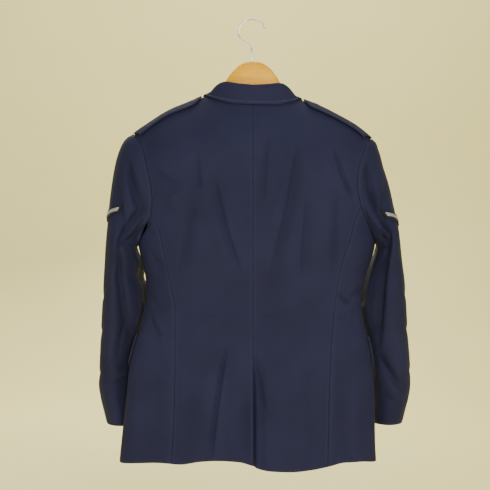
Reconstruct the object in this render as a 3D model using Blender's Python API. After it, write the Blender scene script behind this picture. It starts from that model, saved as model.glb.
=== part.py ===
"""Service dress jacket on a flat wooden hanger, as it hangs by the hanger's hook.

The origin is the point of the hook that rests on what holds it. +Z is up, +X is the wearer's left
and -Y is the wearer's front. Lengths are metres, and a drop is a length below the origin.

The body is one hollow shape with a rounded section at each drop. The back, side and front panels are
cut from it along seams, and every panel is a wall of cloth with a narrow gap at each seam. The sleeves
are tubes that start on the armholes. Pieces that lie on a panel are made from its points, moved out.
"""

import math

import bpy
import numpy as np
from mathutils import Vector

LEFT = 1
RIGHT = -1
SIDES = {LEFT: "left", RIGHT: "right"}
BACK = 1
FRONT = -1

# Walls and gaps
CLOTH = 0.0020
SEAM_GAP = 0.0003
LAY_GAP = 0.0003
RIDGE_EASE = 0.0004
LAP = CLOTH + LAY_GAP

# Colours, roughness and metal share
NAVY = (0.026, 0.031, 0.062)
NAVY_DARK = (0.018, 0.020, 0.036)
CLOTH_FINISH = (NAVY, 0.85)
PATCH_FINISH = (NAVY_DARK, 0.9)
BEECH = (0.72, 0.46, 0.12)
CHROME = (0.72, 0.72, 0.70)
SILVER = (0.60, 0.60, 0.58)
WOOD_FINISH = (BEECH, 0.4)
HOOK_FINISH = (CHROME, 0.15, 1.0)
BUTTON_FINISH = (SILVER, 0.35, 1.0)
SHARP_ANGLE = math.radians(40)


def table(names, *rows):
    """Columns of a small table by name."""
    values = np.array(rows, dtype=float)
    return {name: values[:, place] for place, name in enumerate(names.split())}


def column(rows, name, at):
    """Value of a column where the table's first column is `at`, on a smooth curve with no overshoot."""
    knots = next(iter(rows.values()))
    values = rows[name]
    spans = np.diff(knots)
    rates = np.diff(values) / spans
    before, after = rates[:-1], rates[1:]
    turning = before * after <= 0.0
    first = 2.0 * spans[1:] + spans[:-1]
    second = spans[1:] + 2.0 * spans[:-1]
    safe_before = np.where(turning, 1.0, before)
    safe_after = np.where(turning, 1.0, after)
    inner = (first + second) / (first / safe_before + second / safe_after)
    slopes = np.concatenate(([rates[0]], np.where(turning, 0.0, inner), [rates[-1]]))
    at = np.asarray(at, dtype=float)
    held = np.clip(at, knots[0], knots[-1])
    place = np.clip(np.searchsorted(knots, held) - 1, 0, len(spans) - 1)
    span = spans[place]
    part = (held - knots[place]) / span
    start = (1.0 + 2.0 * part) * (1.0 - part) ** 2
    end = part**2 * (3.0 - 2.0 * part)
    lead = part * (1.0 - part) ** 2 * span
    trail = part**2 * (part - 1.0) * span
    curve = start * values[place] + end * values[place + 1] + lead * slopes[place] + trail * slopes[place + 1]
    return curve + (at - held) * np.where(at < held, slopes[0], slopes[-1])


def blend(first, second, share):
    """Straight blend from first to second."""
    return first * (1.0 - share) + second * share


def ease(share):
    """Soft step from 0 to 1."""
    share = np.clip(share, 0.0, 1.0)
    return share * share * (3.0 - 2.0 * share)


def points(x, y, z):
    """One array of points from three arrays of coordinates."""
    return np.stack(np.broadcast_arrays(x, y, z), axis=-1)


def unit(vectors):
    """Vectors of length one."""
    return vectors / np.linalg.norm(vectors, axis=-1, keepdims=True)


# Body: half widths of the outline, and depths behind and in front of its widest line
BODY = table(
    "drop  left   right  middle back   front  taper",
    (0.120, 0.300, 0.300, 0.000, 0.078, 0.060, 0.00),
    (0.240, 0.285, 0.290, 0.000, 0.080, 0.062, 0.00),
    (0.300, 0.265, 0.270, 0.000, 0.080, 0.066, 0.00),
    (0.350, 0.250, 0.259, 0.000, 0.080, 0.070, 0.00),
    (0.405, 0.241, 0.253, 0.000, 0.079, 0.072, 0.02),
    (0.466, 0.2335, 0.2495, 0.002, 0.076, 0.072, 0.05),
    (0.500, 0.226, 0.240, 0.004, 0.071, 0.070, 0.07),
    (0.540, 0.218, 0.227, 0.006, 0.065, 0.066, 0.08),
    (0.585, 0.220, 0.221, 0.008, 0.061, 0.063, 0.09),
    (0.630, 0.230, 0.229, 0.011, 0.058, 0.064, 0.11),
    (0.700, 0.249, 0.242, 0.015, 0.056, 0.066, 0.14),
    (0.775, 0.257, 0.247, 0.017, 0.057, 0.068, 0.17),
    (0.860, 0.266, 0.248, 0.019, 0.060, 0.068, 0.19),
    (0.930, 0.273, 0.252, 0.020, 0.062, 0.068, 0.20),
)
BODY_ROUND = 2.5
TAPER_POWER = 1.5

# Shoulder ridge, where the back and front panels meet over the hanger
RIDGE = table(
    "out    left   right",
    (0.000, 0.130, 0.130),
    (0.030, 0.1325, 0.1345),
    (0.060, 0.142, 0.147),
    (0.090, 0.156, 0.163),
    (0.130, 0.174, 0.179),
    (0.170, 0.191, 0.199),
    (0.210, 0.216, 0.222),
    (0.243, 0.239, 0.2485),
    (0.290, 0.280, 0.290),
)
SHOULDER_FALL = 0.140
NECK_ROUND = 1.5
TIP_ROUND = 2.0
SHOULDER_TIP = 0.243
NECK_HALF = 0.088
NECK_SINK = table("out sink", (0.0, 0.040), (0.03, 0.0375), (0.06, 0.021), (NECK_HALF, 0.0), (0.30, 0.0))

# Outer edge of each back panel: the armhole down to its corner, then the side-back seam
BACK_EDGE = {
    LEFT: table(
        "drop  out",
        (0.239, 0.2430),
        (0.250, 0.2335),
        (0.270, 0.2225),
        (0.309, 0.2120),
        (0.356, 0.2030),
        (0.380, 0.2015),
        (0.403, 0.2040),
        (0.431, 0.1890),
        (0.480, 0.1780),
        (0.541, 0.1650),
        (0.600, 0.1550),
        (0.700, 0.1550),
        (0.820, 0.1570),
        (0.900, 0.1620),
    ),
    RIGHT: table(
        "drop  out",
        (0.2485, 0.2430),
        (0.260, 0.2300),
        (0.284, 0.2210),
        (0.309, 0.2120),
        (0.335, 0.2085),
        (0.360, 0.2100),
        (0.385, 0.2155),
        (0.415, 0.2040),
        (0.450, 0.1950),
        (0.500, 0.1780),
        (0.592, 0.1630),
        (0.650, 0.1570),
        (0.744, 0.1520),
        (0.900, 0.1480),
    ),
}
# Outer edge of each front panel: the armhole down to its corner, then the side-front seam
FRONT_EDGE = {
    LEFT: table(
        "drop  out",
        (0.239, 0.2430),
        (0.250, 0.2290),
        (0.275, 0.2110),
        (0.310, 0.1980),
        (0.360, 0.1900),
        (0.400, 0.1920),
        (0.428, 0.2010),
        (0.480, 0.1880),
        (0.560, 0.1760),
        (0.650, 0.1800),
        (0.780, 0.1900),
        (0.910, 0.1980),
    ),
    RIGHT: table(
        "drop  out",
        (0.2485, 0.2430),
        (0.260, 0.2290),
        (0.285, 0.2120),
        (0.315, 0.2000),
        (0.360, 0.1940),
        (0.400, 0.1980),
        (0.426, 0.2100),
        (0.480, 0.1960),
        (0.560, 0.1800),
        (0.650, 0.1800),
        (0.780, 0.1860),
        (0.910, 0.1880),
    ),
}
HEM_LEVEL = 0.900
UPPER_ROWS = 9
SHOULDER_ROWS_POWER = 1.8
HEM_ROWS = (0.950, 0.980)
SIDE_COLUMNS = 8
BACK_COLUMNS = (0.0, 0.09, 0.17, 0.23, 0.29)
SHOULDER_COLUMNS = 10
BACK_CORNER = {LEFT: 0.403, RIGHT: 0.385}
FRONT_CORNER = {LEFT: 0.428, RIGHT: 0.426}
UNDERARM = {LEFT: 0.466, RIGHT: 0.462}

# Hem, from centre back and from centre front out to the side
BACK_HEM = {
    LEFT: table(
        "out   drop",
        (0.000, 0.8985),
        (0.026, 0.8925),
        (0.070, 0.8900),
        (0.104, 0.8920),
        (0.144, 0.8980),
        (0.184, 0.8960),
        (0.272, 0.9030),
    ),
    RIGHT: table(
        "out   drop",
        (-0.032, 0.8870),
        (-0.006, 0.8960),
        (0.000, 0.9010),
        (0.018, 0.9080),
        (0.043, 0.9110),
        (0.075, 0.9120),
        (0.112, 0.9090),
        (0.152, 0.9020),
        (0.182, 0.8960),
        (0.214, 0.8960),
        (0.252, 0.9010),
    ),
}
FRONT_HEM = {
    LEFT: table("out drop", (-0.02, 0.912), (0.10, 0.910), (0.20, 0.906), (0.272, 0.903)),
    RIGHT: table("out drop", (-0.02, 0.910), (0.10, 0.908), (0.20, 0.904), (0.252, 0.901)),
}

# Centre vent of the back, where the left panel lies over the right one
CENTRE_GAP = 0.0006
VENT_TOP = 0.695
VENT_UNDERLAP = 0.032
VENT_SUNK = 0.014
VENT_FLUSH = 0.026
VENT_SLOPE = 0.012
VENT_SINK = 0.030
VENT_EASE = 0.0007

# Front opening: the roll line of the lapel, then the straight edge, then the rounded hem corner
ROLL = table(
    "drop  out",
    (0.150, 0.0890),
    (0.200, 0.0790),
    (0.300, 0.0530),
    (0.400, 0.0240),
    (0.480, -0.0060),
    (0.510, -0.0180),
    (0.600, -0.0180),
    (0.860, -0.0180),
    (0.885, -0.0140),
    (0.900, -0.0040),
    (0.910, 0.0180),
)
FRONT_UNDERLAP_FADE = (0.030, 0.050)
FRONT_UNDERLAP_TOP = 0.40
FRONT_UNDERLAP_RISE = 0.05
FRONT_EASE = 0.0006

# Lapels: where they start on the roll line, how wide they are across the chest, where they end
LAPEL_TOP = 0.2140
LAPEL_TIP = 0.2620
LAPEL_END = {LEFT: 0.500, RIGHT: 0.458}
LAPEL_LOWER = {LEFT: 0.0, RIGHT: 0.0068}
LAPEL_WIDTH = table("share wide", (0.0, 0.067), (0.2, 0.064), (0.5, 0.045), (0.8, 0.020), (1.0, 0.005))
LAPEL_SWELL = 0.0025
LAPEL_PAST_ROLL = 0.0012
LAPEL_SLANT = 0.004

# Turned-down collar: neck seam, fold and outer edge, from centre back to the front end
COLLAR_NECK = table(
    "share  out     back     drop",
    (0.00, 0.0000, 0.0405, 0.1695),
    (0.20, 0.0285, 0.0385, 0.1680),
    (0.40, 0.0570, 0.0255, 0.1615),
    (0.55, 0.0795, 0.0080, 0.1535),
    (0.65, 0.0808, -0.0130, 0.1650),
    (0.80, 0.0753, -0.0290, 0.1880),
    (1.00, 0.0700, -0.0385, 0.2120),
)
COLLAR_FOLD = table(
    "share  out     back     drop",
    (0.00, 0.0000, 0.0460, 0.1430),
    (0.20, 0.0290, 0.0435, 0.1400),
    (0.40, 0.0580, 0.0300, 0.1345),
    (0.55, 0.0800, 0.0090, 0.1450),
    (0.65, 0.0860, -0.0190, 0.1580),
    (0.80, 0.0820, -0.0360, 0.1830),
    (1.00, 0.0750, -0.0470, 0.2110),
)
COLLAR_EDGE = table(
    "share  out     back",
    (0.00, 0.0000, 0.0520),
    (0.20, 0.0340, 0.0490),
    (0.40, 0.0680, 0.0350),
    (0.55, 0.0920, 0.0130),
    (0.65, 0.1020, -0.0060),
    (0.80, 0.1120, -0.0230),
    (1.00, 0.1180, -0.0370),
)
COLLAR_RADIUS = table("share radius", (0.0, 0.0032), (0.6, 0.0030), (1.0, 0.0025))
COLLAR_DROP_RIGHT = table("share drop", (0.0, 0.0), (0.4, 0.003), (0.6, 0.0068), (1.0, 0.0068))
COLLAR_PATH = table("way place", (0.0, 0.0), (0.25, 1.0), (0.35, 2.0), (0.45, 3.0), (1.0, 4.0))
COLLAR_COLUMNS = (0.0, 0.11, 0.22, 0.33, 0.44, 0.53, 0.58, 0.61, 0.64, 0.70, 0.78, 0.86, 0.93, 1.0)
COLLAR_ROWS = (0.0, 0.20, 0.29, 0.35, 0.41, 0.50, 0.66, 0.82, 1.0)
COLLAR_FOLD_WAY = 0.36
COLLAR_EASE = 0.0015
NOTCH_DEPTH = 0.016
NOTCH_WAY = 0.82
NOTCH_HALF = 0.18
NOTCH_FROM = 0.86
LEAST_UPWARD = 0.3

# Sleeves: outer and inner edges of the outline below the armhole, where the middle of the tube lies, its
# depth, and how far its inner side lies forward, in behind the body's edge as seen from the back
SLEEVE_OUTLINE = {
    LEFT: table(
        "drop  outer",
        (0.2390, 0.2440),
        (0.2450, 0.2560),
        (0.2570, 0.2660),
        (0.2700, 0.2720),
        (0.2940, 0.2795),
        (0.3430, 0.2880),
        (0.3800, 0.2925),
        (0.4290, 0.2970),
        (0.4790, 0.3010),
        (0.5570, 0.3065),
        (0.6200, 0.3115),
        (0.6720, 0.3155),
        (0.7260, 0.3195),
        (0.7560, 0.3215),
        (0.7820, 0.3185),
        (0.8080, 0.3130),
        (0.8400, 0.3060),
    ),
    RIGHT: table(
        "drop  outer",
        (0.2485, 0.2440),
        (0.2560, 0.2520),
        (0.2700, 0.2570),
        (0.2820, 0.2610),
        (0.3060, 0.2670),
        (0.3310, 0.2750),
        (0.3560, 0.2815),
        (0.3800, 0.2865),
        (0.4290, 0.2965),
        (0.4790, 0.3020),
        (0.5400, 0.3110),
        (0.6410, 0.3200),
        (0.7300, 0.3290),
        (0.7560, 0.3300),
        (0.7820, 0.3270),
        (0.8080, 0.3210),
        (0.8400, 0.3140),
    ),
}
SLEEVE = table(
    "drop   inner_left inner_right middle  depth   skew",
    (0.470, 0.2378, 0.2538, -0.004, 0.0760, 0.000),
    (0.485, 0.2330, 0.2500, -0.005, 0.0765, 0.006),
    (0.505, 0.2255, 0.2405, -0.006, 0.0770, 0.024),
    (0.530, 0.2280, 0.2300, -0.007, 0.0760, 0.037),
    (0.560, 0.2165, 0.2225, -0.010, 0.0750, 0.040),
    (0.600, 0.2180, 0.2190, -0.016, 0.0730, 0.040),
    (0.640, 0.2280, 0.2260, -0.025, 0.0705, 0.034),
    (0.680, 0.2390, 0.2350, -0.034, 0.0690, 0.026),
    (0.750, 0.2450, 0.2440, -0.050, 0.0650, 0.013),
    (0.800, 0.2430, 0.2480, -0.058, 0.0610, 0.005),
    (0.840, 0.2400, 0.2480, -0.064, 0.0580, 0.000),
)
CUFF = {LEFT: 0.8370, RIGHT: 0.8350}
ARMHOLE_DEPTH = 0.058
PIVOT_CLEAR = 0.004
SLEEVE_SQUARE = 0.9
FAN_SHARE = 0.45
FAN_POWER = 1.25
FAN_ROWS = 9
TUBE_ROWS = 13
FOLDS_FROM = 0.12
FAN_FADE = math.radians(62)
SEAM_ANGLE = 0.0050

# Shoulder loops
LOOP_SEWN = 0.2410
LOOP_SEWN_CLEAR = 0.0012
LOOP_POINT = 0.1030
LOOP_WIDTH = table("share half", (0.0, 0.0270), (0.7, 0.0225), (0.86, 0.0215), (0.95, 0.0140), (1.0, 0.0040))
LOOP_CLOTH = 0.0026
LOOP_LIFT = 0.0015
LOOP_FORWARD = -0.004
LOOP_STIFF = 0.82
LOOP_BUTTON_AT = 0.83
LOOP_BUTTON_ACROSS = 0.55
LOOP_ROWS = (0.0, 0.15, 0.30, 0.45, 0.60, 0.75, 0.86, 0.95, 1.0)

# Rank patches: bent bands round the outside of the upper sleeve, lowest in the middle
PATCH_DROP = {LEFT: 0.4080, RIGHT: 0.4180}
PATCH_REACH = math.radians(66)
PATCH_RISE = 0.018
PATCH_HALF_HEIGHT = 0.010
PATCH_CLOTH = 0.0015
PATCH_LIFT = 0.0012
PATCH_WAYS = (0.0, 0.7)

# Pocket flaps
FLAP_TOP = {LEFT: 0.6440, RIGHT: 0.6500}
FLAP_HEIGHT = 0.064
FLAP_REAR = math.radians(9)
FLAP_FORE = math.radians(-72)
FLAP_CORNER = 0.020
FLAP_LENGTH = 0.165
FLAP_EASE = 0.0009
FLAP_COLUMNS = (0.0, 0.03, 0.10, 0.19, 0.28, 0.38, 0.50, 0.62, 0.76, 0.89, 0.97, 1.0)

# Buttons
FRONT_BUTTON_DROPS = (0.520, 0.605, 0.690)
FRONT_BUTTON_RADIUS = 0.0125
BUTTON_LIFT = 0.0004
LOOP_BUTTON_RADIUS = 0.0080
BUTTON_PROFILE = table(
    "out    up",
    (0.00, 0.00),
    (0.80, 0.00),
    (0.98, 0.10),
    (1.00, 0.20),
    (0.94, 0.28),
    (0.75, 0.37),
    (0.40, 0.46),
    (0.00, 0.50),
)

# Hanger
HANGER_HALF_THICK = 0.0065
HANGER_STATIONS = (0.0, 0.012, 0.026, 0.038, 0.050, 0.062, 0.075, 0.088, 0.11, 0.14, 0.17, 0.195, 0.207)
HANGER_TIP = 0.214
HANGER_TOP = table(
    "out   drop",
    (0.000, 0.0885),
    (0.012, 0.0895),
    (0.028, 0.0965),
    (0.043, 0.1110),
    (0.057, 0.1310),
    (0.070, 0.1520),
    (0.084, 0.1685),
    (0.300, 0.1700),
)
HANGER_LOWER_RIGHT = 0.0068
HANGER_EASE = 0.0008
HANGER_BOTTOM = table(
    "out   drop",
    (0.000, 0.1520),
    (0.050, 0.1690),
    (0.100, 0.1980),
    (0.150, 0.2230),
    (0.200, 0.2450),
    (0.214, 0.2480),
)
HANGER_SQUARE = 0.80
HANGER_OVAL = 0.90
HANGER_BEND = 0.195
HANGER_END_SHARE = 0.8
HANGER_END_SINK = 0.5
HANGER_SIDES = 12
HANGER_DOME_HALF = 0.082
HANGER_LOWER_FROM = 0.045
HANGER_LOWER_RUN = 0.030
HANGER_SLACK = 0.004
WIRE = 0.0018
HOOK_RADIUS = 0.0277
HOOK_MIDDLE = (0.001, -0.0295)
HOOK_TIP = math.radians(160)
HOOK_LEAVES = math.radians(-15)
STEM_X = 0.002
STEM_TOP = -0.0650
STEM_END = -0.1080
STEM_MIDDLE = -0.0800
HOOK_SIDES = 10
HOOK_LEAD = 0.014
STEM_LEAD = (0.001, 0.013)
BORE_CLEAR = 0.0003
BORE_TOP = -0.0800
BORE_SIDES = 16

# Largest folds, as seen from behind or from in front: ends, half width and height (a trough is negative)
FOLDS = table(
    "face   x1      z1      x2      z2     half   height",
    (BACK, 0.058, -0.700, 0.082, -0.880, 0.022, 0.0050),
    (BACK, 0.096, -0.720, 0.110, -0.890, 0.018, -0.0035),
    (BACK, -0.165, -0.285, -0.205, -0.365, 0.014, -0.0050),
    (BACK, -0.060, -0.720, -0.075, -0.900, 0.024, 0.0040),
    (BACK, 0.070, -0.340, 0.030, -0.520, 0.022, -0.0025),
    (BACK, -0.080, -0.340, -0.045, -0.520, 0.022, -0.0025),
    (BACK, 0.254, -0.320, 0.230, -0.392, 0.009, -0.0065),
    (BACK, 0.238, -0.400, 0.262, -0.470, 0.008, -0.0055),
    (BACK, 0.252, -0.478, 0.250, -0.640, 0.010, -0.0065),
    (BACK, -0.236, -0.330, -0.254, -0.460, 0.009, -0.0065),
    (BACK, -0.252, -0.470, -0.254, -0.660, 0.010, -0.0065),
    (BACK, -0.256, -0.690, -0.306, -0.760, 0.008, -0.0060),
    (BACK, 0.262, -0.770, 0.312, -0.730, 0.010, -0.0040),
    (FRONT, 0.150, -0.420, 0.110, -0.600, 0.022, -0.0040),
    (FRONT, -0.150, -0.420, -0.110, -0.600, 0.022, -0.0040),
    (FRONT, 0.262, -0.690, 0.315, -0.740, 0.010, -0.0050),
    (FRONT, -0.268, -0.690, -0.322, -0.740, 0.010, -0.0050),
)
FOLD_HELD = 0.35
FOLD_SOFT = 0.22
FOLD_FACES = (0.1, 0.5)

# Small steps for the slopes of a surface
SLOPE_STEP = 0.0001
SHOULDER_STEP = 0.0005


def relief(place, normal):
    """Height of the folds at points with these normals."""
    height = np.zeros(place.shape[:-1])
    for face, x1, z1, x2, z2, half, tall in zip(*FOLDS.values()):
        run = np.array((x2 - x1, z2 - z1))
        length = np.linalg.norm(run)
        from_start = np.stack((place[..., 0] - x1, place[..., 2] - z1), axis=-1)
        share = from_start @ run / length**2
        aside = (from_start[..., 0] * run[1] - from_start[..., 1] * run[0]) / length
        past = np.clip(np.abs(share - 0.5) - FOLD_HELD, 0.0, None)
        ends = np.exp(-((past / FOLD_SOFT) ** 2))
        facing = ease((face * normal[..., 1] - FOLD_FACES[0]) / (FOLD_FACES[1] - FOLD_FACES[0]))
        height += tall * np.exp(-((aside / half) ** 2)) * ends * facing
    return height


def make_material(name, colour, roughness, metallic=0.0):
    """Plain material of one colour."""
    made = bpy.data.materials.new(name)
    made.use_nodes = True
    shader = made.node_tree.nodes["Principled BSDF"]
    shader.inputs["Base Color"].default_value = (*colour, 1.0)
    shader.inputs["Roughness"].default_value = roughness
    shader.inputs["Metallic"].default_value = metallic
    made.diffuse_color = (*colour, 1.0)
    return made


def make_object(name, vertices, faces, finish):
    """Object of one closed mesh, shaded smooth apart from its sharp edges."""
    mesh = bpy.data.meshes.new(name)
    mesh.from_pydata([tuple(map(float, vertex)) for vertex in vertices], [], faces)
    mesh.materials.append(make_material(name, *finish))
    mesh.shade_smooth()
    mesh.set_sharp_from_angle(angle=SHARP_ANGLE)
    made = bpy.data.objects.new(name, mesh)
    bpy.context.scene.collection.objects.link(made)
    return made


def grid_faces(across, down, start, flip):
    """Four-sided faces of a grid of vertices that begins at `start`."""
    faces = []
    for i in range(across - 1):
        for j in range(down - 1):
            corner = start + i * down + j
            face = (corner, corner + down, corner + down + 1, corner + 1)
            faces.append(face[::-1] if flip else face)
    return faces


def wall_object(name, outer, inner, flip, finish=CLOTH_FINISH):
    """Closed wall between an outer and an inner grid of points."""
    across, down = outer.shape[:2]
    count = across * down
    faces = grid_faces(across, down, 0, flip) + grid_faces(across, down, count, not flip)
    border = [i * down for i in range(across)]
    border += [(across - 1) * down + j for j in range(1, down)]
    border += [i * down + down - 1 for i in range(across - 2, -1, -1)]
    border += [j for j in range(down - 2, 0, -1)]
    for here, there in zip(border, border[1:] + border[:1]):
        face = (there, here, here + count, there + count)
        faces.append(face[::-1] if flip else face)
    vertices = np.concatenate((outer.reshape(-1, 3), inner.reshape(-1, 3)))
    return make_object(name, vertices, faces, finish)


def normals(surface, u, v, outward):
    """Outward unit normals of a surface."""
    along_u = surface(u + SLOPE_STEP, v) - surface(u - SLOPE_STEP, v)
    along_v = surface(u, v + SLOPE_STEP) - surface(u, v - SLOPE_STEP)
    return unit(np.cross(along_u, along_v)) * outward


def make_wall(name, surface, across, down, outward, raised=0.0, thick=CLOTH, finish=CLOTH_FINISH):
    """Wall of cloth whose outer face is a surface of two parameters, raised, with its folds."""
    u, v = np.meshgrid(across, down, indexing="ij")
    normal = normals(surface, u, v, outward)
    place = surface(u, v)
    outer = place + normal * (relief(place, normal) + raised)[..., None]
    return wall_object(name, outer, outer - normal * thick, outward < 0, finish)


# Body surface


def ridge(side, out):
    """Drop of the shoulder ridge."""
    return column(RIDGE, SIDES[side], np.abs(out))


def shoulder_round(out):
    """Power of the shoulder's curve, rounder at the padded tip than at the neck."""
    return blend(NECK_ROUND, TIP_ROUND, ease((np.abs(out) - NECK_HALF) / (SHOULDER_TIP - NECK_HALF)))


def fullness(fall, out):
    """Share of the full depth at a fall below the ridge, negative past it."""
    power = shoulder_round(out)
    share = np.clip(np.abs(fall) / SHOULDER_FALL, 0.0, 1.0)
    return np.sign(fall) * (1.0 - (1.0 - share) ** power) ** (1.0 / power)


def fall_at(share, out):
    """Fall below the ridge that has this share of the full depth."""
    power = shoulder_round(out)
    share = np.clip(share, 0.0, 1.0)
    return SHOULDER_FALL * (1.0 - (1.0 - share**power) ** (1.0 / power))


def powered(value, power):
    """Power that keeps the sign."""
    return np.sign(value) * np.abs(value) ** power


def body(side, angle, drop):
    """Point on the outside of the body. The angle is 90 degrees at centre back, 0 at the side."""
    out = column(BODY, SIDES[side], drop) * powered(np.cos(angle), 2.0 / BODY_ROUND)
    lift = powered(np.sin(angle), 2.0 / BODY_ROUND)
    full = fullness(drop - ridge(side, out), out)
    depth = np.where(lift > 0.0, column(BODY, "back", drop), column(BODY, "front", drop))
    y = column(BODY, "middle", drop) + lift * (depth * full + RIDGE_EASE)
    taper = column(BODY, "taper", drop) * np.clip(-lift, 0.0, None) ** TAPER_POWER
    return points(side * out * (1.0 - taper), y, -drop)


def body_angle(side, out, drop):
    """Angle round the back half at which the body is this far out."""
    share = powered(out / column(BODY, SIDES[side], drop), BODY_ROUND / 2.0)
    return np.arccos(np.clip(share, -1.0, 1.0))


def back_panel_angle(side, drop):
    """Angle round the body of a back panel's outer edge."""
    return body_angle(side, column(BACK_EDGE[side], "out", drop) + SEAM_GAP / 2, drop)


def front_panel_angle(side, drop):
    """Angle round the body of a front panel's outer edge."""
    return -body_angle(side, column(FRONT_EDGE[side], "out", drop) + SEAM_GAP / 2, drop)


def armhole_floor(side, angle):
    """Drop of the armhole's lower edge at an angle round the body."""
    low = UNDERARM[side]
    back = back_panel_angle(side, BACK_CORNER[side])
    front = front_panel_angle(side, FRONT_CORNER[side])
    behind = low - (low - BACK_CORNER[side]) * (angle / back) ** 2
    before = low - (low - FRONT_CORNER[side]) * (angle / front) ** 2
    return np.where(angle > 0.0, behind, before)


def hem_drop(side, angle, out):
    """Drop of the hem, on the back half or the front half."""
    return np.where(angle > 0.0, column(BACK_HEM[side], "drop", out), column(FRONT_HEM[side], "drop", out))


# Back, side and front panels


def centre_top(side):
    """Drop of the neck seam at centre back."""
    return ridge(side, 0.0) + NECK_SINK["sink"][0]


def hem_side(side, edge, hem):
    """Drop of the hem at the foot of a side seam."""
    return float(column(hem[side], "drop", column(edge[side], "out", HEM_LEVEL)))


def lower_rows(side):
    """Shares of the way from an armhole corner to the hem at which the panels have a row of points."""
    tip, corner, hem = BACK_EDGE[side]["drop"][0], BACK_CORNER[side], hem_side(side, BACK_EDGE, BACK_HEM)
    top, bottom = centre_top(side), BACK_HEM[side]["drop"][0]
    vent = np.array((VENT_TOP, VENT_TOP + VENT_SLOPE))
    vent = tip + (hem - tip) * (vent - top) / (bottom - top)
    return np.sort(np.concatenate((np.linspace(0.0, 1.0, 11), (vent - corner) / (hem - corner), HEM_ROWS)))


def upper_drops(side, edge, corner):
    """Drops of the rows of points between the shoulder tip and an armhole corner."""
    tip = edge[side]["drop"][0]
    return blend(tip, corner[side], np.linspace(0.0, 1.0, UPPER_ROWS + 1) ** SHOULDER_ROWS_POWER)


def panel_rows(side, edge, corner, hem):
    """Shares of the way from the shoulder to the hem at which a back or front panel has a row."""
    tip, foot = edge[side]["drop"][0], hem_side(side, edge, hem)
    lower = blend(corner[side], foot, lower_rows(side))
    return (np.concatenate((upper_drops(side, edge, corner), lower[1:])) - tip) / (foot - tip)


def back_panel(side):
    """Surface of a back panel from centre back to the armhole and the side-back seam."""
    edge = BACK_EDGE[side]
    tip, foot = edge["drop"][0], hem_side(side, BACK_EDGE, BACK_HEM)
    hem_out = column(edge, "out", HEM_LEVEL)

    def surface(across, way):
        outer = column(edge, "out", blend(tip, foot, way)) - SEAM_GAP / 2
        top_out = blend(CENTRE_GAP / 2, SHOULDER_TIP - SEAM_GAP / 2, across)
        top = ridge(side, top_out) + column(NECK_SINK, "sink", np.abs(top_out))
        hem_start = -VENT_UNDERLAP if side == RIGHT else 0.0
        hem = column(BACK_HEM[side], "drop", blend(hem_start, hem_out, np.abs(across)))
        drop = blend(top, hem, way)
        centre = CENTRE_GAP / 2
        if side == RIGHT:
            centre = blend(centre, -VENT_UNDERLAP, ease((drop - VENT_TOP) / VENT_SLOPE))
        out = blend(centre, outer, across)
        place = body(side, body_angle(side, out, drop), drop)
        if side == RIGHT:
            under = ease((VENT_FLUSH - out) / (VENT_FLUSH - VENT_SUNK))
            under = under * ease((drop - VENT_TOP + VENT_SINK) / VENT_SINK)
            place = place - points(0.0, (LAP + VENT_EASE) * under, 0.0)
        return place

    return surface


def side_panel(side):
    """Surface of a side panel from the side-back seam round to the side-front seam."""
    back_top, front_top = BACK_CORNER[side], FRONT_CORNER[side]
    back_hem = hem_side(side, BACK_EDGE, BACK_HEM)
    front_hem = hem_side(side, FRONT_EDGE, FRONT_HEM)

    def surface(across, row):
        behind = back_panel_angle(side, blend(back_top, back_hem, row))
        before = front_panel_angle(side, blend(front_top, front_hem, row))
        angle = blend(behind, before, across)
        top_angle = blend(back_panel_angle(side, back_top), front_panel_angle(side, front_top), across)
        top = armhole_floor(side, top_angle)
        hem_angle = blend(back_panel_angle(side, back_hem), front_panel_angle(side, front_hem), across)
        widest = column(BODY, SIDES[side], HEM_LEVEL)
        hem = hem_drop(side, hem_angle, widest * powered(np.cos(hem_angle), 2.0 / BODY_ROUND))
        return body(side, angle, blend(top, hem, row))

    return surface


def front_panel(side):
    """Surface of a front panel from the roll line and front edge to the armhole and side-front seam."""
    edge = FRONT_EDGE[side]
    tip, foot = edge["drop"][0], hem_side(side, FRONT_EDGE, FRONT_HEM)
    neck = ridge(side, NECK_HALF)
    hem_out = column(edge, "out", HEM_LEVEL)
    hem_middle = ROLL["drop"][-1]

    def surface(across, way):
        outer = column(edge, "out", blend(tip, foot, way)) - SEAM_GAP / 2
        inner = column(ROLL, "out", blend(neck, hem_middle, way))
        top = ridge(side, blend(column(ROLL, "out", neck), SHOULDER_TIP - SEAM_GAP / 2, across))
        drop = blend(top, column(FRONT_HEM[side], "drop", blend(0.0, hem_out, across)), way)
        out = blend(inner, outer, across)
        place = body(side, -body_angle(side, out, drop), drop)
        if side == RIGHT:
            start, end = FRONT_UNDERLAP_FADE
            under = ease((end - out) / (end - start))
            under = under * ease((drop - FRONT_UNDERLAP_TOP) / FRONT_UNDERLAP_RISE)
            place = place + points(0.0, (LAP + FRONT_EASE) * under, 0.0)
        return place

    return surface


def make_body():
    """Back, side and front panels of both sides."""
    side_columns = np.linspace(0.0, 1.0, SIDE_COLUMNS)
    for side, name in SIDES.items():
        shoulder = np.linspace(0.0, 1.0, SHOULDER_COLUMNS)
        across = np.concatenate((BACK_COLUMNS, blend(NECK_HALF / SHOULDER_TIP, 1.0, shoulder)))
        back_rows = panel_rows(side, BACK_EDGE, BACK_CORNER, BACK_HEM)
        front_rows = panel_rows(side, FRONT_EDGE, FRONT_CORNER, FRONT_HEM)
        make_wall(f"back_{name}", back_panel(side), across, back_rows, side)
        make_wall(f"side_{name}", side_panel(side), side_columns, lower_rows(side), side)
        make_wall(f"front_{name}", front_panel(side), shoulder, front_rows, -side)


# Lapels and collar


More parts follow.
